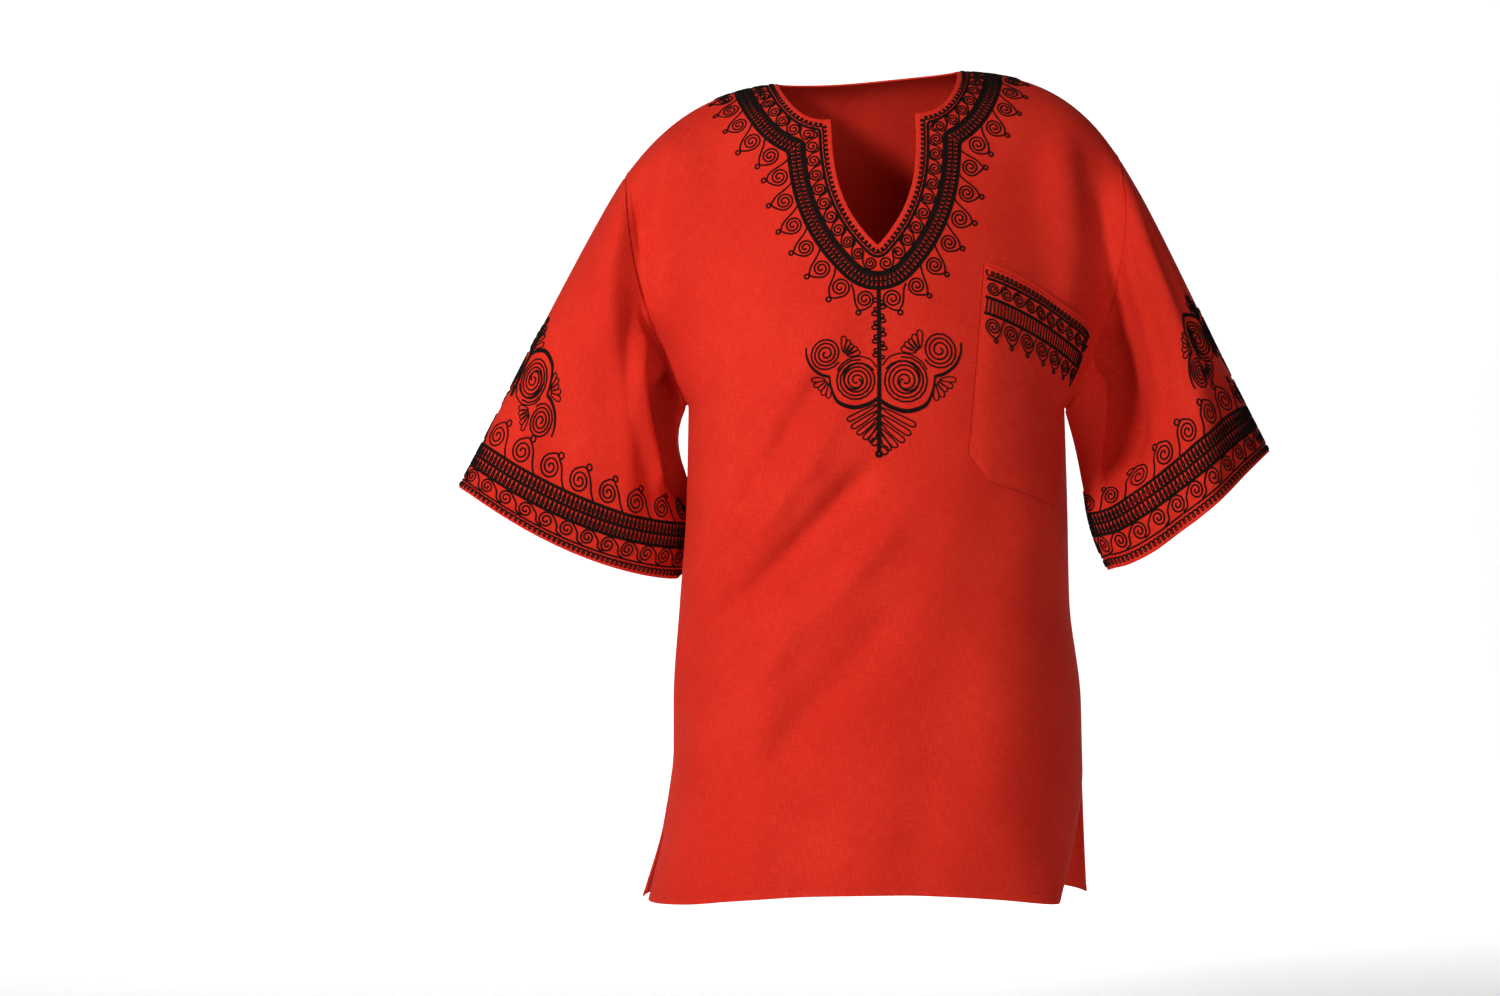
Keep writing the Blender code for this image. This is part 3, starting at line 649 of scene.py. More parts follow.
    def surface(self, turn: Array, along: Array) -> Array:
        """The sleeve's outer face before it is draped."""
        start, end = self.around(self.armhole, turn), self.around(self.cuff_halves, turn)
        axis, under = np.array(self.cuff.axis), np.array(self.cuff.under)
        upward = np.cos(2 * math.pi * turn)[..., None]
        on_top = np.clip(upward + 0.4, 0, 1)
        below = np.clip(-upward / 0.6 - 0.66, 0, 1)
        take_off = axis * (1 - on_top - below) + self.leaving_panel(turn) * on_top * self.TOP_PULL
        take_off = take_off + under * below
        t = along[..., None]
        rise = t * t * (3 - 2 * t)
        line = start * (1 - rise) + end * rise + take_off * self.TAKE_OFF * t * (1 - t) ** 2
        return line - axis * self.LANDING * t * t * (1 - t)

    def read(self, turn: Array, along: Array) -> tuple[Array, Array]:
        """Points and normals at a turn and a share of the way to the cuff."""
        return self.form.at(along, (np.mod(turn, 1) + self.OVERLAP) / (1 + 2 * self.OVERLAP))

    def run_at(self, turn: Array) -> Array:
        """The length of cloth from armhole to cuff at a turn."""
        return np.interp(np.mod(turn, 1), self.turns, self.runs)

    def chart(self, plane: Array) -> tuple[Array, Array]:
        """Points and normals for distances round from the top line and up from the cuff's edge."""
        turn = plane[:, 0] / self.cuff_girth
        return self.read(turn, 1 - plane[:, 1] / self.run_at(turn))


@dataclass
class Pocket:
    """The patch pocket: distances across and down the front's cloth, and how it stands off the front."""

    torso: Torso
    top: float = 0.220
    bottom: float = 0.416
    inner: float = 0.099
    outer: float = 0.239
    corner: float = 0.024
    clip: float = 0.88
    lean: float = 0.020
    droop: float = 0.033
    droop_fade: float = 0.7
    limit: float = 0.94
    edge_rise: float = 0.0007
    middle_rise: float = 0.0029
    mouth: float = 0.0045

    def outline(self, across: Array, down: Array) -> tuple[Array, Array]:
        """Distances across and down the front for shares of the pocket."""
        left = self.inner - self.lean * down
        right = self.outer - self.lean * down
        widest = self.limit * self.torso.width(F, Side.LEFT, self.torso.row_at(F, self.top))
        right = np.minimum(right, widest)
        clipped = np.clip((down - self.clip) / (1 - self.clip), 0, 1) * self.corner
        s = left + clipped + (right - left - 2 * clipped) * across
        droop = self.droop * across * (1 - self.droop_fade * down)
        return s, self.top + droop + (self.bottom - self.top) * down

    def read(self, across: Array, down: Array) -> tuple[Array, Array]:
        """Points and normals of the pocket's outer face."""
        across, down = np.broadcast_arrays(np.asarray(across, float), np.asarray(down, float))
        s, t = self.outline(across, down)
        r = self.torso.row_at(F, t)
        base, normal = self.torso.read(F, Side.LEFT, s / self.torso.width(F, Side.LEFT, r), r)
        inset = np.minimum(np.minimum(across, 1 - across) * 0.14, (1 - down) * 0.196)
        body = 1 - np.exp(-((inset / 0.010) ** 2))
        middle = np.clip(np.sin(math.pi * across), 0, 1)
        gape = self.mouth * (1 - down) ** 3 * (middle + 0.3 * across**2)
        rise = self.edge_rise + (self.middle_rise - self.edge_rise) * body + gape
        return base + normal * rise[..., None], normal

    @property
    def size(self) -> tuple[float, float]:
        """The pocket's width and length laid flat."""
        s, _ = self.outline(np.array([0.0, 1.0]), np.zeros(2))
        return float(s[1] - s[0]), self.bottom - self.top

    def chart(self, plane: Array) -> tuple[Array, Array]:
        """Points and normals for distances across and down from the pocket's upper inner corner."""
        width, length = self.size
        return self.read(plane[:, 0] / width, plane[:, 1] / length)


@dataclass(frozen=True)
class Hem:
    """A turned edge: how wide the turning is, and how much thicker the cloth is there."""

    turned: float = 0.0078
    rise: float = 0.00030
    groove: float = 0.00045
    groove_width: float = 0.0011

    def height(self, from_edge: Array) -> Array:
        """How far the outer face stands out at a distance from the edge."""
        turned = smooth_step((self.turned + 0.0006 - from_edge) / 0.0012)
        rounded = smooth_step(from_edge / 0.0008)
        groove = np.exp(-(((from_edge - self.turned + 0.001) / self.groove_width) ** 2))
        return self.rise * turned * rounded - self.groove * groove


def spaced(length: float, step: float, fine_start: bool = False, fine_end: bool = False) -> Array:
    """Shares along a length, with closer ones by an edge that is sewn or turned.

    Args:
        length: the length in metres.
        step: the usual step in metres.
        fine_start: whether the steps are close by the start.
        fine_end: whether the steps are close by the end.

    Returns:
        Shares from 0 to 1.
    """
    edge = np.array([0, 0.0007, 0.0015, 0.0025, 0.0036, 0.0048, 0.0058, 0.0064, 0.0070, 0.0076, 0.0084, 0.0100])
    low = edge if fine_start else np.array([0.0])
    high = length - edge[::-1] if fine_end else np.array([length])
    count = max(int((high[0] - low[-1]) / step), 1)
    return np.concatenate([low, np.linspace(low[-1], high[0], count + 1)[1:-1], high]) / length


def quads_of(rows: int, columns: int, wrap: bool = False) -> Array:
    """The quads of a grid of vertices, rows by columns."""
    i, j = np.meshgrid(np.arange(rows - 1), np.arange(columns if wrap else columns - 1), indexing="ij")
    k = (j + 1) % columns
    corners = [i * columns + j, i * columns + k, (i + 1) * columns + k, (i + 1) * columns + j]
    return np.stack(corners, -1).reshape(-1, 4)


@dataclass
class Cloth:
    """A thin shell of cloth: its outer face, its thickness and its places on the flat cut."""

    name: str
    outer: Array
    normal: Array
    flat: Array
    edge: Array
    quads: Array
    thickness: float = 0.0008
    hem_thickness: float = 0.0014

    def build(self, material: bpy.types.Material) -> bpy.types.Object:
        """Makes the closed shell with its map in metres and its edge attribute."""
        count = len(self.outer)
        thick = self.thickness + (self.hem_thickness - self.thickness) * self.edge
        inner = self.outer - self.normal * thick[:, None]
        pairs = np.concatenate([self.quads[:, [k, (k + 1) % 4]] for k in range(4)])
        code, back = pairs[:, 0] * count + pairs[:, 1], pairs[:, 1] * count + pairs[:, 0]
        rim = pairs[~np.isin(code, back)]
        rims = np.stack([rim[:, 1], rim[:, 0], rim[:, 0] + count, rim[:, 1] + count], -1)
        faces = np.concatenate([self.quads, self.quads[:, ::-1] + count, rims])
        mesh = bpy.data.meshes.new(self.name)
        mesh.from_pydata(np.concatenate([self.outer, inner]).tolist(), [], faces.tolist())
        uv = mesh.uv_layers.new(name="cloth")
        uv.data.foreach_set("uv", np.concatenate([self.flat, self.flat])[faces.ravel()].ravel())
        attribute = mesh.attributes.new("edge", "FLOAT", "POINT")
        attribute.data.foreach_set("value", np.concatenate([self.edge, self.edge]))
        mesh.shade_smooth()
        mesh.set_sharp_from_angle(angle=math.radians(70))
        mesh.materials.append(material)
        piece = bpy.data.objects.new(self.name, mesh)
        bpy.context.scene.collection.objects.link(piece)
        return piece

    @property
    def area(self) -> float:
        """The area of the outer face in square metres."""
        a, b, c, d = (self.outer[self.quads[:, k]] for k in range(4))
        crosses = np.linalg.norm(np.cross(c - a, d - b), axis=1)
        return float(crosses.sum() / 2)


@dataclass
class PanelMaker:
    """Builds the front and the back from two halves joined down the centre."""

    torso: Torso
    neck: NeckCut
    hem: Hem
    step: float = 0.0034
    seam_rise: float = 0.0005

    def half_grid(self, face: Face, side: Side) -> dict[str, Array]:
        """Outer points, normals and flat places of half a panel.

        Args:
            face: front or back.
            side: the wearer's side.

        Returns:
            Grids by name, and the first row below the neck opening under "shared".
        """
        neck_s, neck_t = self.neck.front(30, 40) if face is F else self.neck.back(26)
        inner_neck = self.torso.row_at(face, neck_t)
        reach = lengths(np.stack([neck_s, neck_t], -1))
        start = inner_neck[-1]
        length = self.torso.drop_at(face, 2.0) - self.torso.drop_at(face, start)
        below = start + (2 - start) * spaced(length, self.step, fine_end=True)[1:]
        inner_r = np.concatenate([inner_neck, below])
        outer_r = np.concatenate([start * reach / reach[-1], below])
        inner_u = np.zeros(len(inner_r))
        inner_u[: len(neck_s)] = neck_s / self.torso.width(face, side, inner_neck)
        share = spaced(0.22, self.step, fine_start=True, fine_end=True)[None, :]
        across = inner_u[:, None] * (1 - share) + share
        rows = inner_r[:, None] * (1 - share) + outer_r[:, None] * share
        points, normals = self.torso.read(face, side, across, rows)
        s = across * self.torso.width(face, side, rows)
        t = self.torso.drop_at(face, rows)
        from_hem = self.torso.drop_at(face, 2.0) - t
        in_neck = (np.arange(len(inner_r)) < len(neck_s))[:, None]
        from_neck = np.where(in_neck, s - inner_u[:, None] * self.torso.width(face, side, rows), 1.0)
        from_side = self.torso.width(face, side, rows) - s
        vent_row = 2 - self.torso.vent_length / (self.torso.underarm_z - self.torso.side_hem_z)
        from_vent = np.where(rows > vent_row, from_side, 1.0)
        height, edge = np.zeros_like(s), np.zeros_like(s)
        for distance in (from_hem, from_neck, from_vent):
            height = height + self.hem.height(distance)
            edge = np.maximum(edge, smooth_step(1 - distance / self.hem.turned))
        sewn = np.where(rows > vent_row, 0, np.exp(-(((from_side - 0.004) / 0.0024) ** 2)))
        height = height + self.seam_rise * sewn * smooth_step(from_side / 0.003) * (1 if face is F else -1)
        points = points + normals * height[..., None]
        flat = np.stack([s * side.value, t if face is F else -t], -1)
        return {"points": points, "normals": normals, "flat": flat, "edge": edge, "shared": len(neck_s) - 1}

    def make(self, name: str, face: Face) -> Cloth:
        """Joins the two halves of a panel.

        Args:
            name: the piece's name.
            face: front or back.

        Returns:
            The cloth, ready to build.
        """
        halves = {side: self.half_grid(face, side) for side in Side}
        rows, columns = halves[Side.LEFT]["points"].shape[:2]
        count, shared = rows * columns, halves[Side.LEFT]["shared"]
        left = quads_of(rows, columns)
        right = left[:, ::-1] + count
        place = np.arange(2 * count)
        centre = np.arange(shared, rows) * columns
        place[centre + count] = centre
        quads = place[np.concatenate([left, right])]
        if face is F:
            quads = quads[:, ::-1]
        used, quads = np.unique(quads, return_inverse=True)
        columns_of = {}
        for key, width in (("points", 3), ("normals", 3), ("flat", 2), ("edge", 1)):
            both = [halves[side][key].reshape(-1, width) for side in (Side.LEFT, Side.RIGHT)]
            columns_of[key] = np.concatenate(both)[used]
        return Cloth(
            name, columns_of["points"], columns_of["normals"], columns_of["flat"],
            columns_of["edge"][:, 0], quads.reshape(-1, 4),
        )


@dataclass
class SleeveMaker:
    """Builds a sleeve as a closed tube with a turned cuff."""

    hem: Hem
    step: float = 0.0034
    seam_dip: dict[Side, float] = field(default_factory=lambda: {Side.RIGHT: 0.0032, Side.LEFT: 0.0014})

    def make(self, name: str, sleeve: Sleeve) -> Cloth:
        """The sleeve's cloth, ready to build."""
        turns = np.arange(int(sleeve.cuff_girth / self.step)) / int(sleeve.cuff_girth / self.step)
        shares = spaced(0.27, self.step, fine_start=True, fine_end=True)
        turn, along = np.broadcast_arrays(turns[None, :], shares[:, None])
        points, normals = sleeve.read(turn, along)
        run = sleeve.run_at(turn)
        from_cuff, from_seam = (1 - along) * run, along * run
        edge = smooth_step(1 - from_cuff / self.hem.turned)
        dip = self.seam_dip[sleeve.side] * np.exp(-(((from_seam - 0.002) / 0.0016) ** 2)) * smooth_step(from_seam / 0.0015)
        points = points + normals * (self.hem.height(from_cuff) - dip)[..., None]
        flat = np.stack([turn * sleeve.cuff_girth, from_cuff], -1)
        quads = quads_of(len(shares), len(turns), wrap=True)
        if sleeve.side is Side.LEFT:
            quads = quads[:, ::-1]
        return Cloth(
            name, points.reshape(-1, 3), normals.reshape(-1, 3), flat.reshape(-1, 2), edge.ravel(), quads
        )


@dataclass
class PocketMaker:
    """Builds the patch pocket, which is sewn on three sides."""

    hem: Hem
    step: float = 0.0025

    def make(self, name: str, pocket: Pocket) -> Cloth:
        """The pocket's cloth, ready to build."""
        width, length = pocket.size
        across, down = np.broadcast_arrays(
            spaced(width, self.step, True, True)[None, :], spaced(length, self.step, True, True)[:, None]
        )
        points, normals = pocket.read(across, down)
        insets = (across * width, (1 - across) * width, down * length, (1 - down) * length)
        from_edge = np.minimum.reduce(insets)
        edge = smooth_step(1 - from_edge / self.hem.turned)
        points = points + normals * (self.hem.height(from_edge))[..., None]
        flat = np.stack([across * width, down * length], -1)
        quads = quads_of(*across.shape)[:, ::-1]
        return Cloth(
            name, points.reshape(-1, 3), normals.reshape(-1, 3), flat.reshape(-1, 2), edge.ravel(), quads,
            hem_thickness=0.0006,
        )


Chart = Callable[[Array], tuple[Array, Array]]


@dataclass
class Threads:
    """Runs of thread laid on a cloth and built as one joined mesh of fine cords."""

    name: str
    chart: Chart
    width: float = 0.0017
    height: float = 0.0011
    step: float = 0.0014
    runs: list[tuple[Array, Array, Array]] = field(default_factory=list)

    def lay(self, path: Path2D, width: float | None = None, sunk_ends: bool = False) -> None:
        """Adds one run of thread.

        Args:
            path: places on the flat cloth, two or more.
            width: the cord's width, or the usual one.
            sunk_ends: whether the ends dive into the cloth, as a machine stitch's do.
        """
        reach = lengths(path)
        if reach[-1] < 1e-5:
            return
        count = max(int(math.ceil(reach[-1] / self.step)), 2) + 1
        at = np.linspace(0, reach[-1], count)
        even = np.stack([np.interp(at, reach, path[:, k]) for k in range(2)], -1)
        lift = np.sin(np.linspace(0, math.pi, count)) if sunk_ends else np.ones(count)
        self.runs.append((even, lift, np.full(count, (width or self.width) / 2)))

    def lay_all(self, paths: Iterable[Path2D], width: float | None = None) -> None:
        """Adds several runs of thread of one width."""
        for path in paths:
            self.lay(path, width)

    def build(self, material: bpy.types.Material) -> bpy.types.Object:
        """Makes the cords, four sided and flattened, with a map of distances along and round."""
        plane = np.concatenate([run[0] for run in self.runs])
        lift = np.concatenate([run[1] for run in self.runs])
        half = np.concatenate([run[2] for run in self.runs])
        sizes = np.array([len(run[0]) for run in self.runs])
        first = np.concatenate([[0], np.cumsum(sizes)[:-1]])
        index = np.arange(len(plane))
        start, end = np.repeat(first, sizes), np.repeat(first + sizes - 1, sizes)
        points, normals = self.chart(plane)
        after, before = np.minimum(index + 1, end), np.maximum(index - 1, start)
        along = points[after] - points[before]
        along /= np.linalg.norm(along, axis=1, keepdims=True) + 1e-12
        beside = np.cross(normals, along)
        beside /= np.linalg.norm(beside, axis=1, keepdims=True) + 1e-12
        sink = (lift - 1)[:, None] * self.height * normals
        low, high = 0.00015 * normals + sink, self.height * normals * np.minimum(lift, 1)[:, None] + sink / 2
        rings = np.stack(
            [points + beside * half[:, None] + low, points + high,
             points - beside * half[:, None] + low, points - 0.0004 * normals + sink], 1
        )
        joined = index[index < end]
        faces = []
        for k in range(4):
            n = (k + 1) % 4
            faces.append(np.stack([joined * 4 + k, joined * 4 + n, (joined + 1) * 4 + n, (joined + 1) * 4 + k], -1))
        last = first + sizes - 1
        faces.append(np.stack([first * 4 + k for k in (3, 2, 1, 0)], -1))
        faces.append(np.stack([last * 4 + k for k in (0, 1, 2, 3)], -1))
        faces = np.concatenate(faces)
        step = np.linalg.norm(points - points[before], axis=1) * (index > start)
        run = np.cumsum(step)
        mesh = bpy.data.meshes.new(self.name)
        mesh.from_pydata(rings.reshape(-1, 3).tolist(), [], faces.tolist())
        round_it = np.tile(np.array([0.0, 0.25, 0.5, 0.75]), len(plane))
        uv = mesh.uv_layers.new(name="cord")
        uv_points = np.stack([np.repeat(run, 4), round_it], -1)
        uv.data.foreach_set("uv", uv_points[faces.ravel()].ravel())
        mesh.shade_smooth()
        mesh.materials.append(material)
        piece = bpy.data.objects.new(self.name, mesh)
        bpy.context.scene.collection.objects.link(piece)
        return piece


class Rail:
    """A line on the flat cloth that embroidery follows, measured along and to one side of it."""

    def __init__(self, line: Path2D, outward: Array) -> None:
        """Keeps the line.

        Args:
            line: places on the flat cloth.
            outward: the direction at each place in which side distances grow.
        """
        self.reach = lengths(line)
        self.line, self.outward = line, outward
        self.length = float(self.reach[-1])

    def at(self, local: Path2D) -> Path2D:
        """Places on the flat cloth for distances along the rail and out from it."""
        x = np.clip(local[:, 0], 0, self.length)
        over = local[:, 0] - x
        base = np.stack([np.interp(x, self.reach, self.line[:, k]) for k in range(2)], -1)
        out = np.stack([np.interp(x, self.reach, self.outward[:, k]) for k in range(2)], -1)
        out /= np.linalg.norm(out, axis=1, keepdims=True)
        ahead = np.stack([np.interp(np.clip(x + 5e-4, 0, self.length), self.reach, self.line[:, k])
                          - np.interp(np.clip(x - 5e-4, 0, self.length), self.reach, self.line[:, k])
                          for k in range(2)], -1)
        ahead /= np.linalg.norm(ahead, axis=1, keepdims=True) + 1e-12
        return base + out * local[:, 1:2] + ahead * over[:, None]

    def placed(self, local: Path2D, at: float) -> Path2D:
        """A small figure set on the rail without bending, as a rigid copy."""
        here = self.at(np.array([[at, 0.0]]))[0]
        out = self.at(np.array([[at, 0.001]]))[0] - here
        out /= np.linalg.norm(out)
        ahead = self.at(np.array([[at + 5e-4, 0.0]]))[0] - self.at(np.array([[at - 5e-4, 0.0]]))[0]
        ahead -= out * (ahead @ out)
        ahead /= np.linalg.norm(ahead)
        return here + local[:, :1] * ahead + local[:, 1:2] * out


class Figures:
    """The hand embroiderer's figures, in metres, each as one or more paths."""

    @staticmethod
    def spiral(centre: tuple[float, float], radius: float, turns: float, leave: float, hand: int = 1) -> Path2D:
        """A spiral from its middle out to its rim.

        Args:
            centre: its middle.
            radius: its outer radius.
            turns: how many times it goes round.
            leave: the angle in radians at which it reaches the rim.
            hand: 1 to go round clockwise, -1 the other way.

        Returns:
            The path, middle first.
        """
        count = int(14 * turns) + 4
        share = np.linspace(0, 1, count)
        angle = leave + hand * 2 * math.pi * turns * (1 - share)
        r = radius * (0.10 + 0.90 * share**0.85)
        return np.stack([centre[0] + r * np.cos(angle), centre[1] + r * np.sin(angle)], -1)

    @staticmethod
    def bend(points: Iterable[tuple[float, float]], steps: int = 16) -> Path2D:
        """A smooth curve through a few points."""
        p = np.array(list(points))
        knots = np.linspace(0, 1, len(p))
        at = np.linspace(0, 1, steps * (len(p) - 1) + 1)
        slopes = np.gradient(p, knots, axis=0)
        i = np.clip(np.searchsorted(knots, at, side="right") - 1, 0, len(p) - 2)
        h = knots[1]
        t = ((at - knots[i]) / h)[:, None]
        rise = t * t * (3 - 2 * t)
        pull = slopes[i] * h * t * (1 - t) ** 2 - slopes[i + 1] * h * t * t * (1 - t)
        return p[i] * (1 - rise) + p[i + 1] * rise + pull

    @staticmethod
    def ring(centre: tuple[float, float], radius: float) -> Path2D:
        """A small closed ring."""
        angle = np.linspace(0, 2 * math.pi, 13)
        return np.stack([centre[0] + radius * np.cos(angle), centre[1] + radius * np.sin(angle)], -1)

    @staticmethod
    def loops(length: float, pitch: float, size: float, height: float) -> Path2D:
        """A running row of small loops about a straight line."""
        count = max(round(length / pitch), 1)
        tau = np.linspace(0, 2 * math.pi * count, 12 * count + 1)
        x = tau * length / (2 * math.pi * count) - size / 2 * np.sin(tau)
        return np.stack([x, -height / 2 * np.cos(tau)], -1)

    @classmethod
    def teardrop(cls, pitch: float, radius: float, base: float, tip: float, reach: float) -> list[Path2D]:
        """A spiral whose rim runs out to a tip with a small ring and falls back beside it.

        Args:
            pitch: the distance to the next one.
            radius: the spiral's radius.
            base: how far the line it stands on is from the spiral's middle.
            tip: the tip's angle in radians.
            reach: the tip's distance from the middle over the radius.

        Returns:
            The paths, about the spiral's middle.
        """
        leave = tip + 0.75
        spiral = cls.spiral((0, 0), radius, 2.3, leave)
        end = (reach * radius * math.cos(tip), reach * radius * math.sin(tip))
        ring = 0.25 * radius
        bead = (end[0] + ring * math.cos(tip), end[1] + ring * math.sin(tip))
        rise = cls.bend([tuple(spiral[-1]), (1.16 * radius * math.cos(tip + 0.38), 1.16 * radius * math.sin(tip + 0.38)), end], 7)
        fall = cls.bend([end, (1.12 * radius * math.cos(tip - 0.7), 1.12 * radius * math.sin(tip - 0.7)),
                         (pitch * 0.46, -base * 0.45), (pitch * 0.60, -base)], 7)
        return [np.concatenate([spiral, rise[1:]]), cls.ring(bead, ring), fall]

    @staticmethod
    def finger(root: tuple[float, float], angle: float, length: float, width: float, curl: float = 0.0) -> Path2D:
        """A long narrow loop, out from its root and back."""
        out = np.linspace(0, 1, 9)
        side = width / 2 * np.sin(np.clip(out, 0, 0.86) / 0.86 * math.pi / 2) ** 0.7
        cap = np.linspace(math.pi / 2, -math.pi / 2, 6)[1:-1]
        x = np.concatenate([out * (length - width / 2), length - width / 2 + width / 2 * np.cos(cap),
                            out[::-1] * (length - width / 2)])
        y = np.concatenate([side, width / 2 * np.sin(cap), -side[::-1]])
        bow = curl * (x / length) ** 2 * length
        c, s = math.cos(angle), math.sin(angle)
        return np.stack([root[0] + c * x - s * (y + bow), root[1] + s * x + c * (y + bow)], -1)

    @classmethod
    def fan(cls, root: tuple[float, float], first: float, last: float, sizes: Iterable[float], width: float) -> list[Path2D]:
        """Finger loops spread between two angles."""
        sizes = list(sizes)
        angles = np.linspace(first, last, len(sizes))
        bare = 0.24
        return [
            cls.finger((root[0] + bare * size * math.cos(a), root[1] + bare * size * math.sin(a)), a,
                       size * (1 - bare), width)
            for a, size in zip(angles, sizes)
        ]


@dataclass
class Embroiderer:
    """Lays the borders and motifs of the embroidery."""

    heavy_gap: float = 0.0011
    seed: int = 11

    def __post_init__(self) -> None:
        """Seeds the small differences of handwork."""
        self.random = np.random.default_rng(self.seed)

    def wobble(self, amount: float) -> float:
        """A small difference between one figure and the next."""
        return float(self.random.uniform(-amount, amount))

    def line(self, threads: Threads, rail: Rail, offset: float, strands: int = 1) -> None:
        """A line along a rail, of one strand or of several side by side."""
        x = np.linspace(0, rail.length, max(int(rail.length / 0.002), 3))
        for n in range(strands):
            y = np.full_like(x, offset + (n - (strands - 1) / 2) * self.heavy_gap)
            threads.lay(rail.at(np.stack([x, y], -1)))

    def loop_row(self, threads: Threads, rail: Rail, offset: float, pitch: float, height: float, size: float) -> None:
        """A running row of loops along a rail."""
        path = Figures.loops(rail.length, pitch, size, height)
        path[:, 1] += offset
        threads.lay(rail.at(path))

    def small_spirals(self, threads: Threads, rail: Rail, pitch: float, radius: float, offset: float = 0.0) -> None:
        """A row of small linked spirals along a rail."""
        count = max(round(rail.length / pitch), 1)
        pitch = rail.length / count
        for n in range(count):
            r = radius * (1 + self.wobble(0.06))
            spiral = Figures.spiral((0, self.wobble(0.0006)), r, 2.0 + self.wobble(0.15), 1.0)
            link = Figures.bend([tuple(spiral[-1]), (pitch * 0.5, r * 0.1), (pitch * 0.62, -r * 0.75),
                                 (pitch * 0.9, -r * 1.02)], 6)
            path = np.concatenate([spiral, link[1:]]) + np.array([0, offset])
            threads.lay(rail.placed(path, (n + 0.5) * pitch) if n in (0, count - 1) else
                        rail.at(path + np.array([(n + 0.5) * pitch, 0])))

    def teardrops(
        self, threads: Threads, rail: Rail, count: int, radius: float, base: float, tip: float, reach: float
    ) -> None:
        """A fringe of large spirals with ringed tips along a rail."""
        pitch = rail.length / count
        for n in range(count):
            r = radius * (1 + self.wobble(0.05))
            for path in Figures.teardrop(pitch, r, base, tip + self.wobble(0.12), reach + self.wobble(0.08)):
                threads.lay(rail.placed(path, (n + 0.5) * pitch))

    def rungs(self, threads: Threads, rail: Rail, low: float, high: float, pitch: float) -> None:
        """Straight rungs across a band."""
        for x in np.arange(pitch / 2, rail.length, pitch):
            lean = self.wobble(0.0004)
            threads.lay(rail.at(np.array([[x - lean, low], [x + lean, high]])))

    def motif(
        self, threads: Threads, place: Callable[[Path2D], Path2D], scale: dict[int, float], leaf: float = 1.0
    ) -> None:
        """Two large and two small spirals on a spine, with a heavy outline, fans and a leaf of loops.

        Args:
            threads: what the cord is added to.
            place: puts the motif's own places on the flat cloth; its spine runs down its Y axis.
            scale: how large each half is, by the sign of its side.
            leaf: how large the leaf is against the rest.
        """
        fine = threads.width * 0.82
        for side in (-1, 1):
            k = scale[side]

            def lay(path: Path2D, width: float | None = None) -> None:
                threads.lay(place(path * np.array([side * k, k])), width)

            big, big_at = 0.0198, (0.0215, 0.0)
            small, small_at = 0.0155, (0.0510, 0.0270)
            lay(Figures.spiral(big_at, big, 4.6, math.radians(100), -1), threads.width * 0.95)
            lay(Figures.spiral(big_at, big * 0.93, 1.0, math.radians(150), -1))
            lay(Figures.spiral(small_at, small, 3.6, math.radians(215), 1), threads.width * 0.95)
            crest = Figures.bend([(0.0025, 0.012), (0.009, 0.0195), (0.0215, 0.0225), (0.034, 0.0175), (0.040, 0.010)], 8)
            lay(crest, fine)
            outline = Figures.bend([(0.0, -0.0165), (0.0100, -0.0225), (0.0240, -0.0255), (0.0390, -0.0195),
                                    (0.0455, -0.0060), (0.0470, 0.0045)], 8)
            shoulder = Figures.bend([(0.0470, 0.0045), (0.0560, 0.0080), (0.0650, 0.0160), (0.0695, 0.0260),
                                     (0.0700, 0.0340)], 8)
            for n in range(3):
                inset = np.array([0.0, self.heavy_gap * (n - 1)])
                lay(outline + inset)
                lay(shoulder + inset * np.array([1, 0.6]))
            for path in Figures.fan((0.0465, 0.0020), math.radians(4), math.radians(-84),
                                    (0.0185, 0.0165, 0.0140, 0.0160, 0.0175), 0.0046):
                lay(path, fine * 0.85)
            for path in Figures.fan((0.0345, 0.0225), math.radians(92), math.radians(166),
                                    (0.0200, 0.0170, 0.0150, 0.0160, 0.0170), 0.0046):
                lay(path, fine * 0.85)
            fingers = ((0.0, -30, 0.0330), (0.0060, -36, 0.0300), (0.0120, -43, 0.0260), (0.0175, -52, 0.0210),
                       (0.0225, -62, 0.0160))
            for drop, angle, length in fingers[:: 1 if leaf > 0.8 else 2]:
                root = (0.0008, -0.0225 - drop * leaf)
                lay(Figures.finger(root, math.radians(angle), length * leaf, 0.0047, 0.06), fine)
            lay(Figures.ring((0.0042, -0.0225 - 0.036 * leaf), 0.0036))
        tip = -0.0225 - 0.044 * leaf
        threads.lay(place(Figures.ring((0.0, tip), 0.0029)))
        threads.lay(place(Figures.ring((0.0, tip), 0.0017)))
        spine = np.stack([np.zeros(20), np.linspace(0.020, tip + 0.0029, 20)], -1)
        for n in (-1, 0, 1):
            threads.lay(place(spine + np.array([n * self.heavy_gap, 0])))

    def spine(self, threads: Threads, place: Callable[[Path2D], Path2D], top: float, bottom: float) -> None:
        """A heavy upright with small loops thrown to both sides."""
        line = np.stack([np.zeros(24), np.linspace(top, bottom, 24)], -1)
        for n in (-1, 0, 1):
            threads.lay(place(line + np.array([n * self.heavy_gap, 0])))
        for n, y in enumerate(np.arange(top - 0.010, bottom + 0.004, -0.0062)):
            side = 1 if n % 2 else -1
            threads.lay(place(Figures.finger((0.0, y), 0 if side > 0 else math.pi, 0.0062 + self.wobble(0.0008), 0.0034)))
            threads.lay(place(Figures.finger((0.0, y - 0.002), math.pi if side > 0 else 0, 0.0046, 0.0030)))


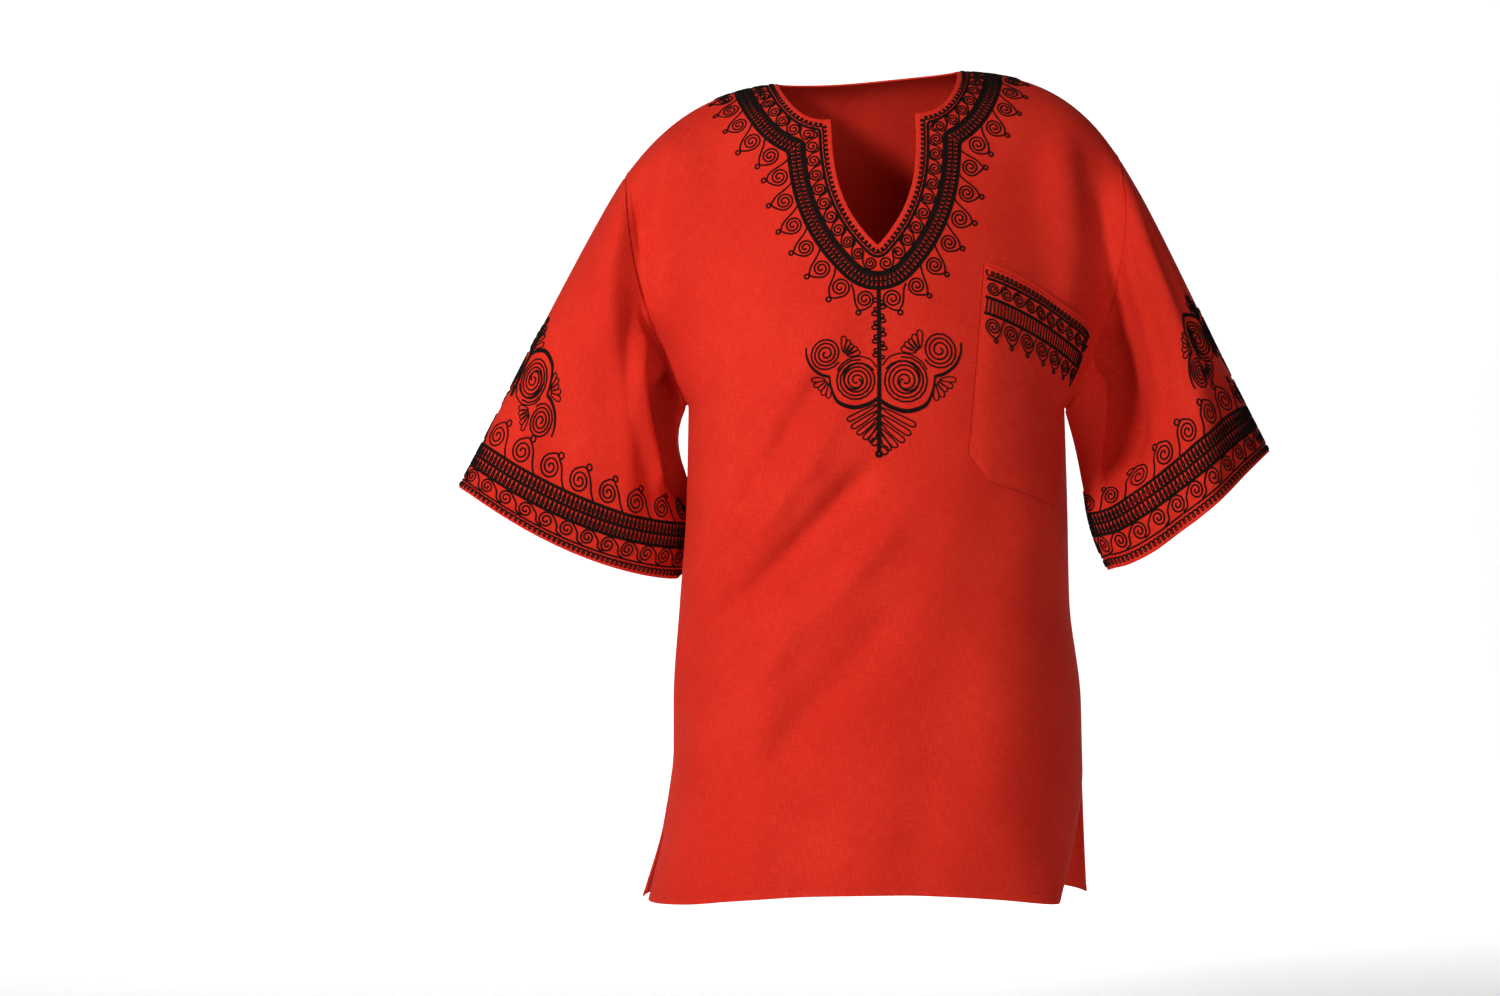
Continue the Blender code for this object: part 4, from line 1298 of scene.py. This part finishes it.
@dataclass
class Topstitch:
    """Plain machine stitching along the hem, the vents and the pocket's edges."""

    inset: float = 0.0066
    pocket_inset: float = 0.0024
    stitch: float = 0.0026
    gap: float = 0.0008
    thread: float = 0.0007

    def along(self, threads: Threads, line: Path2D) -> None:
        """Lays separate stitches along a line."""
        reach = lengths(line)
        for start in np.arange(self.gap, reach[-1] - self.stitch, self.stitch + self.gap):
            at = np.linspace(start, start + self.stitch, 4)
            stitch = np.stack([np.interp(at, reach, line[:, k]) for k in range(2)], -1)
            threads.lay(stitch, self.thread, sunk_ends=True)

    def sew_panels(self, torso: Torso, threads: Threads) -> None:
        """Stitches the hem and the vents of both panels."""
        vent_row = 2 - torso.vent_length / (torso.underarm_z - torso.side_hem_z)
        for face in Face:
            down = 1 if face is F else -1
            for side in Side:
                rows = np.linspace(vent_row, 2, 40)
                s = torso.width(face, side, rows) - self.inset
                t = torso.drop_at(face, rows)
                bottom = t[-1] - self.inset
                vent = np.stack([s, np.minimum(t, bottom)], -1)
                hem = np.array([[0.0, bottom], [s[-1], bottom]])
                for line in (vent, hem):
                    self.along(threads, line * np.array([side.value, down]))

    def sew_pocket(self, pocket: Pocket, threads: Threads) -> None:
        """Stitches the pocket down on three sides."""
        width, length = pocket.size
        x, y = self.pocket_inset, length - self.pocket_inset
        line = np.array([[x, 0.004], [x, y], [width - x, y], [width - x, 0.004]])
        self.along(threads, line)


@dataclass
class Collar:
    """The border round the neck opening, worked in rows that keep their distance from its edge."""

    neck: NeckCut
    loops_at: float = 0.0062
    line_at: float = 0.0108
    spirals_at: float = 0.0182
    band_inner: float = 0.0268
    band_outer: float = 0.0405
    fringe_at: float = 0.0515
    fringe_count: int = 19

    def rail(self, distance: float, side: Side) -> Rail:
        """The line at a distance from the opening, from the end of the slit to the centre back."""
        line, normal = self.neck.half_loop()
        moved = line + normal * distance
        gaps = np.linalg.norm(moved[:, None, :] - line[None, :, :], axis=-1).min(1)
        keep = (gaps > distance - 0.0004) & (moved[:, 0] >= -1e-6)
        moved, normal = moved[keep], normal[keep]
        reach = lengths(moved)
        even = np.linspace(0, reach[-1], 240)
        moved = np.stack([np.interp(even, reach, moved[:, k]) for k in range(2)], -1)
        normal = np.stack([np.interp(even, reach, normal[:, k]) for k in range(2)], -1)
        for _ in range(3):
            normal[1:-1] = (normal[:-2] + normal[1:-1] * 2 + normal[2:]) / 4
            moved[1:-1] = (moved[:-2] + moved[1:-1] * 2 + moved[2:]) / 4
        mirror = np.array([side.value, 1.0])
        return Rail(moved * mirror, normal * mirror)

    def work(self, hand: Embroiderer, threads: Threads) -> None:
        """Lays the rows of both sides."""
        for side in Side:
            hand.loop_row(threads, self.rail(self.loops_at, side), 0, 0.0048, 0.0038, 0.0042)
            hand.line(threads, self.rail(self.line_at, side), 0, 2)
            hand.small_spirals(threads, self.rail(self.spirals_at, side), 0.0148, 0.0062)
            hand.line(threads, self.rail(self.band_inner, side), 0, 4)
            hand.line(threads, self.rail(self.band_outer, side), 0, 2)
            middle = (self.band_inner + self.band_outer) / 2
            width = self.band_outer - self.band_inner - 0.003
            for offset in (-width / 4, width / 4):
                hand.loop_row(threads, self.rail(middle + offset, side), 0, 0.0041, width / 2, 0.0040)
            fringe = self.rail(self.fringe_at, side)
            base = self.fringe_at - self.band_outer
            hand.teardrops(threads, fringe, self.fringe_count, 0.0086, base, math.radians(80), 1.42)


@dataclass
class CuffBorder:
    """The border round a sleeve's cuff, in rows at distances from its edge."""

    sleeve: Sleeve
    loops_at: float = 0.0048
    line_at: float = 0.0098
    spirals_at: float = 0.0185
    band_rows: tuple[float, float, float] = (0.0270, 0.0385, 0.0500)
    fringe_at: float = 0.0625
    fringe_count: int = 17
    motif_at: float = 0.116
    motif_forward: float = 0.004
    motif_scale: float = 0.92
    motif_leaf: float = 0.5

    def rail(self, distance: float) -> Rail:
        """The line at a distance from the cuff's edge, all the way round."""
        x = np.linspace(0, self.sleeve.cuff_girth, 400)
        line = np.stack([x, np.full_like(x, distance)], -1)
        return Rail(line, np.tile([0.0, 1.0], (len(x), 1)))

    def work(self, hand: Embroiderer, threads: Threads) -> None:
        """Lays the rows."""
        low, middle, high = self.band_rows
        hand.loop_row(threads, self.rail(self.loops_at), 0, 0.0050, 0.0046, 0.0046)
        hand.line(threads, self.rail(self.line_at), 0, 1)
        hand.small_spirals(threads, self.rail(self.spirals_at), 0.0215, 0.0074)
        hand.line(threads, self.rail(low), 0, 2)
        hand.line(threads, self.rail(middle), 0, 1)
        hand.line(threads, self.rail(high), 0, 1)
        for bottom, top in ((low, middle), (middle, high)):
            hand.loop_row(threads, self.rail((bottom + top) / 2), 0, 0.0045, top - bottom - 0.0016, 0.0042)
        hand.teardrops(threads, self.rail(self.fringe_at), self.fringe_count, 0.0105, self.fringe_at - high,
                       math.radians(62), 1.15)

    def work_motif(self, hand: Embroiderer, threads: Threads) -> None:
        """Lays the motif on the sleeve's top line, its leaf of loops pointing up the arm."""
        def place(path: Path2D) -> Path2D:
            return np.stack([path[:, 0] + self.motif_forward, self.motif_at - path[:, 1]], -1)

        hand.motif(threads, place, {-1: self.motif_scale, 1: self.motif_scale}, self.motif_leaf)


@dataclass
class PocketBorder:
    """The border across the top of the pocket, in rows at distances below its mouth."""

    pocket: Pocket
    loops_at: float = 0.0085
    line_at: float = 0.0135
    spirals_at: float = 0.0215
    band_rows: tuple[float, float] = (0.0300, 0.0440)
    fringe_at: float = 0.0535
    side_margin: float = 0.0040

    def rail(self, distance: float) -> Rail:
        """The line at a distance below the pocket's mouth."""
        width = self.pocket.size[0]
        x = np.linspace(self.side_margin, width - self.side_margin, 90)
        return Rail(np.stack([x, np.full_like(x, distance)], -1), np.tile([0.0, 1.0], (len(x), 1)))

    def work(self, hand: Embroiderer, threads: Threads) -> None:
        """Lays the rows."""
        low, high = self.band_rows
        hand.loop_row(threads, self.rail(self.loops_at), 0, 0.0046, 0.0046, 0.0046)
        hand.line(threads, self.rail(self.line_at), 0, 2)
        hand.small_spirals(threads, self.rail(self.spirals_at), 0.0130, 0.0056)
        hand.line(threads, self.rail(low), 0, 2)
        hand.line(threads, self.rail(high), 0, 2)
        hand.rungs(threads, self.rail(0), low, high, 0.0034)
        hand.teardrops(threads, self.rail(self.fringe_at), 7, 0.0074, self.fringe_at - high, math.radians(80), 1.45)


class Socket:
    """A node's output with arithmetic; each operation adds a Math node."""

    def __init__(self, nodes: "Nodes", output: bpy.types.NodeSocket) -> None:
        """Keeps the output and the tree it is in."""
        self.nodes, self.output = nodes, output

    def __add__(self, other: "Socket | float") -> "Socket":
        """Sum."""
        return self.nodes.math("ADD", self, other)

    def __radd__(self, other: float) -> "Socket":
        """Sum with a number on the left."""
        return self.nodes.math("ADD", other, self)

    def __sub__(self, other: "Socket | float") -> "Socket":
        """Difference."""
        return self.nodes.math("SUBTRACT", self, other)

    def __rsub__(self, other: float) -> "Socket":
        """Difference from a number."""
        return self.nodes.math("SUBTRACT", other, self)

    def __mul__(self, other: "Socket | float") -> "Socket":
        """Product."""
        return self.nodes.math("MULTIPLY", self, other)

    def __rmul__(self, other: float) -> "Socket":
        """Product with a number on the left."""
        return self.nodes.math("MULTIPLY", other, self)

    def sine(self) -> "Socket":
        """Sine, of radians."""
        return self.nodes.math("SINE", self, 0.0)


class Nodes:
    """The node tree of one material."""

    def __init__(self, name: str) -> None:
        """Starts a material with a Principled shader."""
        self.material = bpy.data.materials.new(name)
        self.material.use_nodes = True
        self.tree = self.material.node_tree
        self.shader = self.tree.nodes["Principled BSDF"]

    def add(self, kind: str, settings: dict[str, object], inputs: dict[str | int, object], output: int | str = 0) -> Socket:
        """Adds a node.

        Args:
            kind: the node's type.
            settings: its properties, set first.
            inputs: values or sockets, by input name or number.
            output: the output that is wanted.

        Returns:
            That output.
        """
        node = self.tree.nodes.new(kind)
        for key, value in settings.items():
            if key == "stops":
                self.set_stops(node, value)
            else:
                setattr(node, key, value)
        for key, value in inputs.items():
            self.feed(node.inputs[key], value)
        return Socket(self, node.outputs[output])

    @staticmethod
    def set_stops(node: bpy.types.Node, stops: Iterable[tuple[float, tuple[float, ...]]]) -> None:
        """Sets a ramp's places and colours."""
        ramp = node.color_ramp
        for n, (place, colour) in enumerate(stops):
            stop = ramp.elements[n] if n < len(ramp.elements) else ramp.elements.new(place)
            stop.position, stop.color = place, colour

    def feed(self, socket: bpy.types.NodeSocket, value: object) -> None:
        """Links a socket or sets its value."""
        if isinstance(value, Socket):
            self.tree.links.new(value.output, socket)
        else:
            socket.default_value = value

    def math(self, operation: str, a: "Socket | float", b: "Socket | float") -> Socket:
        """A Math node."""
        return self.add("ShaderNodeMath", {"operation": operation}, {0: a, 1: b})

    def finish(self, **inputs: object) -> bpy.types.Material:
        """Feeds the shader and returns the material."""
        for key, value in inputs.items():
            self.feed(self.shader.inputs[key.replace("_", " ")], value)
        return self.material


@dataclass(frozen=True)
class Cotton:
    """Plain woven cotton: red-orange, matt, with slubs in both directions."""

    colour: tuple[float, float, float] = (0.62, 0.024, 0.012)
    pale: tuple[float, float, float] = (0.72, 0.040, 0.021)
    deep: tuple[float, float, float] = (0.52, 0.016, 0.009)
    roughness: float = 0.86
    yarn: float = 0.00055
    slub: float = 260.0

    def material(self) -> bpy.types.Material:
        """Makes the cloth's material from its map in metres."""
        n = Nodes("cotton")
        uv = n.add("ShaderNodeUVMap", {"uv_map": "cloth"}, {})
        split = n.add("ShaderNodeSeparateXYZ", {}, {0: uv})
        x, y = split, Socket(n, split.output.node.outputs[1])
        k = math.pi / self.yarn
        weave = (x * k).sine() * (y * k).sine()
        warp = self.streaks(n, uv, (self.slub * 7, self.slub / 3, 1.0))
        weft = self.streaks(n, uv, (self.slub / 3, self.slub * 7, 1.0))
        cloud = n.add("ShaderNodeTexNoise", {}, {"Vector": uv, "Scale": 9.0, "Detail": 3.0, "Roughness": 0.55})
        tone = (warp + weft - 1.0) * 1.3 + (cloud - 0.5) * 0.9 + 0.5
        edge = n.add("ShaderNodeAttribute", {"attribute_name": "edge"}, {}, "Fac")
        tone = tone + edge * 0.10
        stops = ((0.0, (*self.deep, 1)), (0.5, (*self.colour, 1)), (1.0, (*self.pale, 1)))
        colour = n.add("ShaderNodeValToRGB", {"stops": stops}, {0: tone})
        relief = weave * 0.35 + (warp + weft) * 0.9
        bump = n.add("ShaderNodeBump", {}, {"Strength": 0.35, "Distance": 0.00025, "Height": relief})
        rough = self.roughness + (cloud - 0.5) * 0.06
        n.shader.inputs["Sheen Weight"].default_value = 0.01
        n.shader.inputs["Sheen Roughness"].default_value = 0.5
        n.shader.inputs["Specular IOR Level"].default_value = 0.05
        return n.finish(Base_Color=colour, Roughness=rough, Normal=bump)

    @staticmethod
    def streaks(n: Nodes, uv: Socket, stretch: tuple[float, float, float]) -> Socket:
        """Uneven yarns as noise drawn out along one direction."""
        mapped = n.add("ShaderNodeMapping", {}, {"Vector": uv, "Scale": stretch})
        return n.add("ShaderNodeTexNoise", {}, {"Vector": mapped, "Scale": 1.0, "Detail": 2.0, "Roughness": 0.6})


@dataclass(frozen=True)
class Cord:
    """Twisted cotton thread, from its map of distances along and round, with painted shade in the grooves of its twist
    and painted highlight on its crests.
    """

    name: str
    colour: tuple[float, float, float]
    # the pale end of the ramp: shown on the twist's crests as painted highlight, and in the pale fuzz as the thread's
    # own colour
    light: tuple[float, float, float]
    roughness: float = 0.75
    twist: float = 0.0022

    def material(self) -> bpy.types.Material:
        """Makes the thread's material."""
        n = Nodes(self.name)
        uv = n.add("ShaderNodeUVMap", {"uv_map": "cord"}, {})
        split = n.add("ShaderNodeSeparateXYZ", {}, {0: uv})
        x, y = split, Socket(n, split.output.node.outputs[1])
        ply = (x * (2 * math.pi / self.twist) + y * (2 * math.pi)).sine()
        fuzz = n.add("ShaderNodeTexNoise", {}, {"Vector": uv, "Scale": 420.0, "Detail": 2.0})
        # painted shade and highlight: the ply term darkens the twist's grooves and lightens its crests, following the
        # bump; the fuzz term is the thread's own uneven colour
        tone = ply * 0.22 + (fuzz - 0.5) * 0.8 + 0.4
        colour = n.add("ShaderNodeValToRGB", {"stops": ((0.0, (*self.colour, 1)), (1.0, (*self.light, 1)))}, {0: tone})
        bump = n.add("ShaderNodeBump", {}, {"Strength": 0.6, "Distance": 0.0003, "Height": ply * 0.5 + fuzz * 0.3})
        n.shader.inputs["Specular IOR Level"].default_value = 0.08
        return n.finish(Base_Color=colour, Roughness=self.roughness, Normal=bump)


@dataclass
class Shirt:
    """The whole shirt: cloth, sewing and embroidery."""

    def __post_init__(self) -> None:
        """Works out the forms."""
        self.torso = Torso(Drape())
        self.neck = NeckCut()
        self.sleeves = {side: Sleeve(self.torso, side) for side in Side}
        self.pocket = Pocket(self.torso)
        self.hem = Hem()
        self.cotton = Cotton().material()
        self.black = Cord("black_cord", (0.006, 0.003, 0.002), (0.018, 0.009, 0.007)).material()
        self.red = Cord("red_thread", (0.50, 0.020, 0.012), (0.85, 0.07, 0.04)).material()

    def sew_in(self, piece: bpy.types.Object, replaced: str | None = None) -> None:
        """Hands a piece to the frame."""
        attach(piece, "root")
        if replaced:
            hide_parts(replaced)
        log.info("%s: %d vertices", piece.name, len(piece.data.vertices))

    def make_cloths(self) -> None:
        """Builds the five sheets of cloth."""
        panels = PanelMaker(self.torso, self.neck, self.hem)
        sleeves = SleeveMaker(self.hem)
        cloths = {
            "front": panels.make("front_cloth", F),
            "back": panels.make("back_cloth", B),
            "sleeve_right": sleeves.make("sleeve_right_cloth", self.sleeves[Side.RIGHT]),
            "sleeve_left": sleeves.make("sleeve_left_cloth", self.sleeves[Side.LEFT]),
            "pocket": PocketMaker(Hem(0.0025, 0.0001, 0.0018, 0.0009)).make("pocket_cloth", self.pocket),
        }
        for node, cloth in cloths.items():
            piece = cloth.build(self.cotton)
            self.sew_in(piece, node)
            width, length = np.ptp(cloth.flat, axis=0)
            area = cloth.area
            if node.startswith("sleeve"):
                length = max(length, area / width)
            log.info("%s: flat %.3f x %.3f m, area %.4f", node, width, length, area)

    def make_topstitching(self) -> None:
        """Sews the hem, the vents and the pocket in thread of the cloth's colour."""
        topstitch = Topstitch()
        panels = Threads("hem_stitching", self.torso.chart, height=0.0004, step=0.0009)
        topstitch.sew_panels(self.torso, panels)
        self.sew_in(panels.build(self.red))
        pocket = Threads("pocket_stitching", self.pocket.chart, height=0.0004, step=0.0009)
        topstitch.sew_pocket(self.pocket, pocket)
        self.sew_in(pocket.build(self.red))

    def make_embroidery(self) -> None:
        """Lays the cord on the collar, chest, pocket and cuffs."""
        hand = Embroiderer()
        collar = Threads("collar_embroidery", self.torso.chart)
        Collar(self.neck).work(hand, collar)
        self.sew_in(collar.build(self.black))
        chest = Threads("chest_embroidery", self.torso.chart)

        def on_chest(path: Path2D) -> Path2D:
            return np.stack([path[:, 0], 0.331 - path[:, 1]], -1)

        hand.spine(chest, on_chest, 0.082, 0.018)
        hand.motif(chest, on_chest, {-1: 0.95, 1: 1.08})
        self.sew_in(chest.build(self.black))
        pocket = Threads("pocket_embroidery", self.pocket.chart)
        PocketBorder(self.pocket).work(hand, pocket)
        self.sew_in(pocket.build(self.black))
        for side in Side:
            name = side.name.lower()
            motif_place = {Side.RIGHT: (0.116, 0.008, 0.92, 0.5), Side.LEFT: (0.117, 0.053, 0.88, 0.25)}[side]
            at, forward, scale, leaf = motif_place
            border = CuffBorder(
                self.sleeves[side], motif_at=at, motif_forward=forward, motif_scale=scale, motif_leaf=leaf
            )
            cuff = Threads(f"cuff_{name}_embroidery", self.sleeves[side].chart)
            border.work(hand, cuff)
            self.sew_in(cuff.build(self.black))
            motif = Threads(f"sleeve_{name}_motif", self.sleeves[side].chart)
            border.work_motif(hand, motif)
            self.sew_in(motif.build(self.black))


@dataclass
class Studio:
    """A plain pale floor and soft light, and the camera at the photograph's angle."""

    floor_z: float = -0.98
    look_at: tuple[float, float, float] = (-0.1085, 0.0, -0.391)
    distance: float = 3.8
    azimuth: float = -3.5
    elevation: float = 1.0
    field: float = 1.3905

    def make_floor(self) -> None:
        """A pale floor that curves up behind."""
        y = np.concatenate([[-6.0], np.linspace(4.2, 5.4, 13), [5.4]])
        curve = np.concatenate([[0.0], 1.2 * (1 - np.sqrt(np.clip(1 - np.linspace(0, 1, 13) ** 2, 0, 1))), [4.5]])
        rows = [[(x, yy, self.floor_z + zz) for x in (-7.0, 7.0)] for yy, zz in zip(y, curve)]
        mesh = bpy.data.meshes.new("floor")
        faces = [(2 * k, 2 * k + 1, 2 * k + 3, 2 * k + 2) for k in range(len(rows) - 1)]
        mesh.from_pydata([p for row in rows for p in row], [], faces)
        mesh.shade_smooth()
        n = Nodes("pale_floor")
        n.shader.inputs["Roughness"].default_value = 0.9
        n.shader.inputs["Specular IOR Level"].default_value = 0.1
        mesh.materials.append(n.finish(Base_Color=(0.93, 0.93, 0.93, 1)))
        floor = bpy.data.objects.new("floor", mesh)
        bpy.context.scene.collection.objects.link(floor)

    def make_light(
        self,
        name: str,
        at: tuple[float, float, float],
        size: float,
        power: float,
        target: tuple[float, float, float] | None = None,
    ) -> None:
        """One soft square light, aimed at the shirt or at another target."""
        data = bpy.data.lights.new(name, "AREA")
        data.shape, data.size, data.energy = "SQUARE", size, power
        lamp = bpy.data.objects.new(name, data)
        lamp.location = at
        aim = Vector(target or self.look_at) - Vector(at)
        lamp.rotation_euler = aim.to_track_quat("-Z", "Y").to_euler()
        bpy.context.scene.collection.objects.link(lamp)

    def make_lights(self) -> None:
        """Key light from the left of the view, fill from the right, and an even pale surround."""
        self.make_light("key", (-1.55, -1.65, 0.55), 0.36, 46)
        self.make_light("fill", (0.9, -3.5, 0.2), 2.0, 30)
        self.make_light("top", (0.0, -0.4, 2.6), 1.6, 2)
        self.make_light("behind", (0.9, 3.0, 0.9), 1.4, 14)
        self.make_light("backdrop", (0.0, 2.2, 2.4), 3.0, 190, (0.0, 5.5, -0.6))
        world = bpy.data.worlds.new("studio")
        world.use_nodes = True
        world.node_tree.nodes["Background"].inputs["Color"].default_value = (1, 1, 1, 1)
        world.node_tree.nodes["Background"].inputs["Strength"].default_value = 0.04
        bpy.context.scene.world = world
        bpy.context.scene.view_settings.view_transform = "Standard"

    def make_camera(self) -> None:
        """The camera, far enough away for the photograph's flat perspective."""
        data = bpy.data.cameras.new("camera")
        data.sensor_width = 36.0
        data.lens = data.sensor_width * self.distance / self.field
        azimuth, elevation = math.radians(self.azimuth), math.radians(self.elevation)
        away = Vector((math.sin(azimuth) * math.cos(elevation), -math.cos(azimuth) * math.cos(elevation), math.sin(elevation)))
        camera = bpy.data.objects.new("camera", data)
        camera.location = Vector(self.look_at) + away * self.distance
        camera.rotation_euler = (-away).to_track_quat("-Z", "Y").to_euler()
        bpy.context.scene.collection.objects.link(camera)
        bpy.context.scene.camera = camera


def main() -> None:
    """Loads the frame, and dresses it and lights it."""
    logging.basicConfig(level=logging.INFO)
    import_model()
    for thing in bpy.context.selected_objects:
        thing.select_set(False)
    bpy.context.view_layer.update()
    studio = Studio()
    studio.make_camera()
    shirt = Shirt()
    shirt.make_cloths()
    shirt.make_topstitching()
    shirt.make_embroidery()
    studio.make_floor()
    studio.make_lights()


if __name__ == "__main__":
    main()
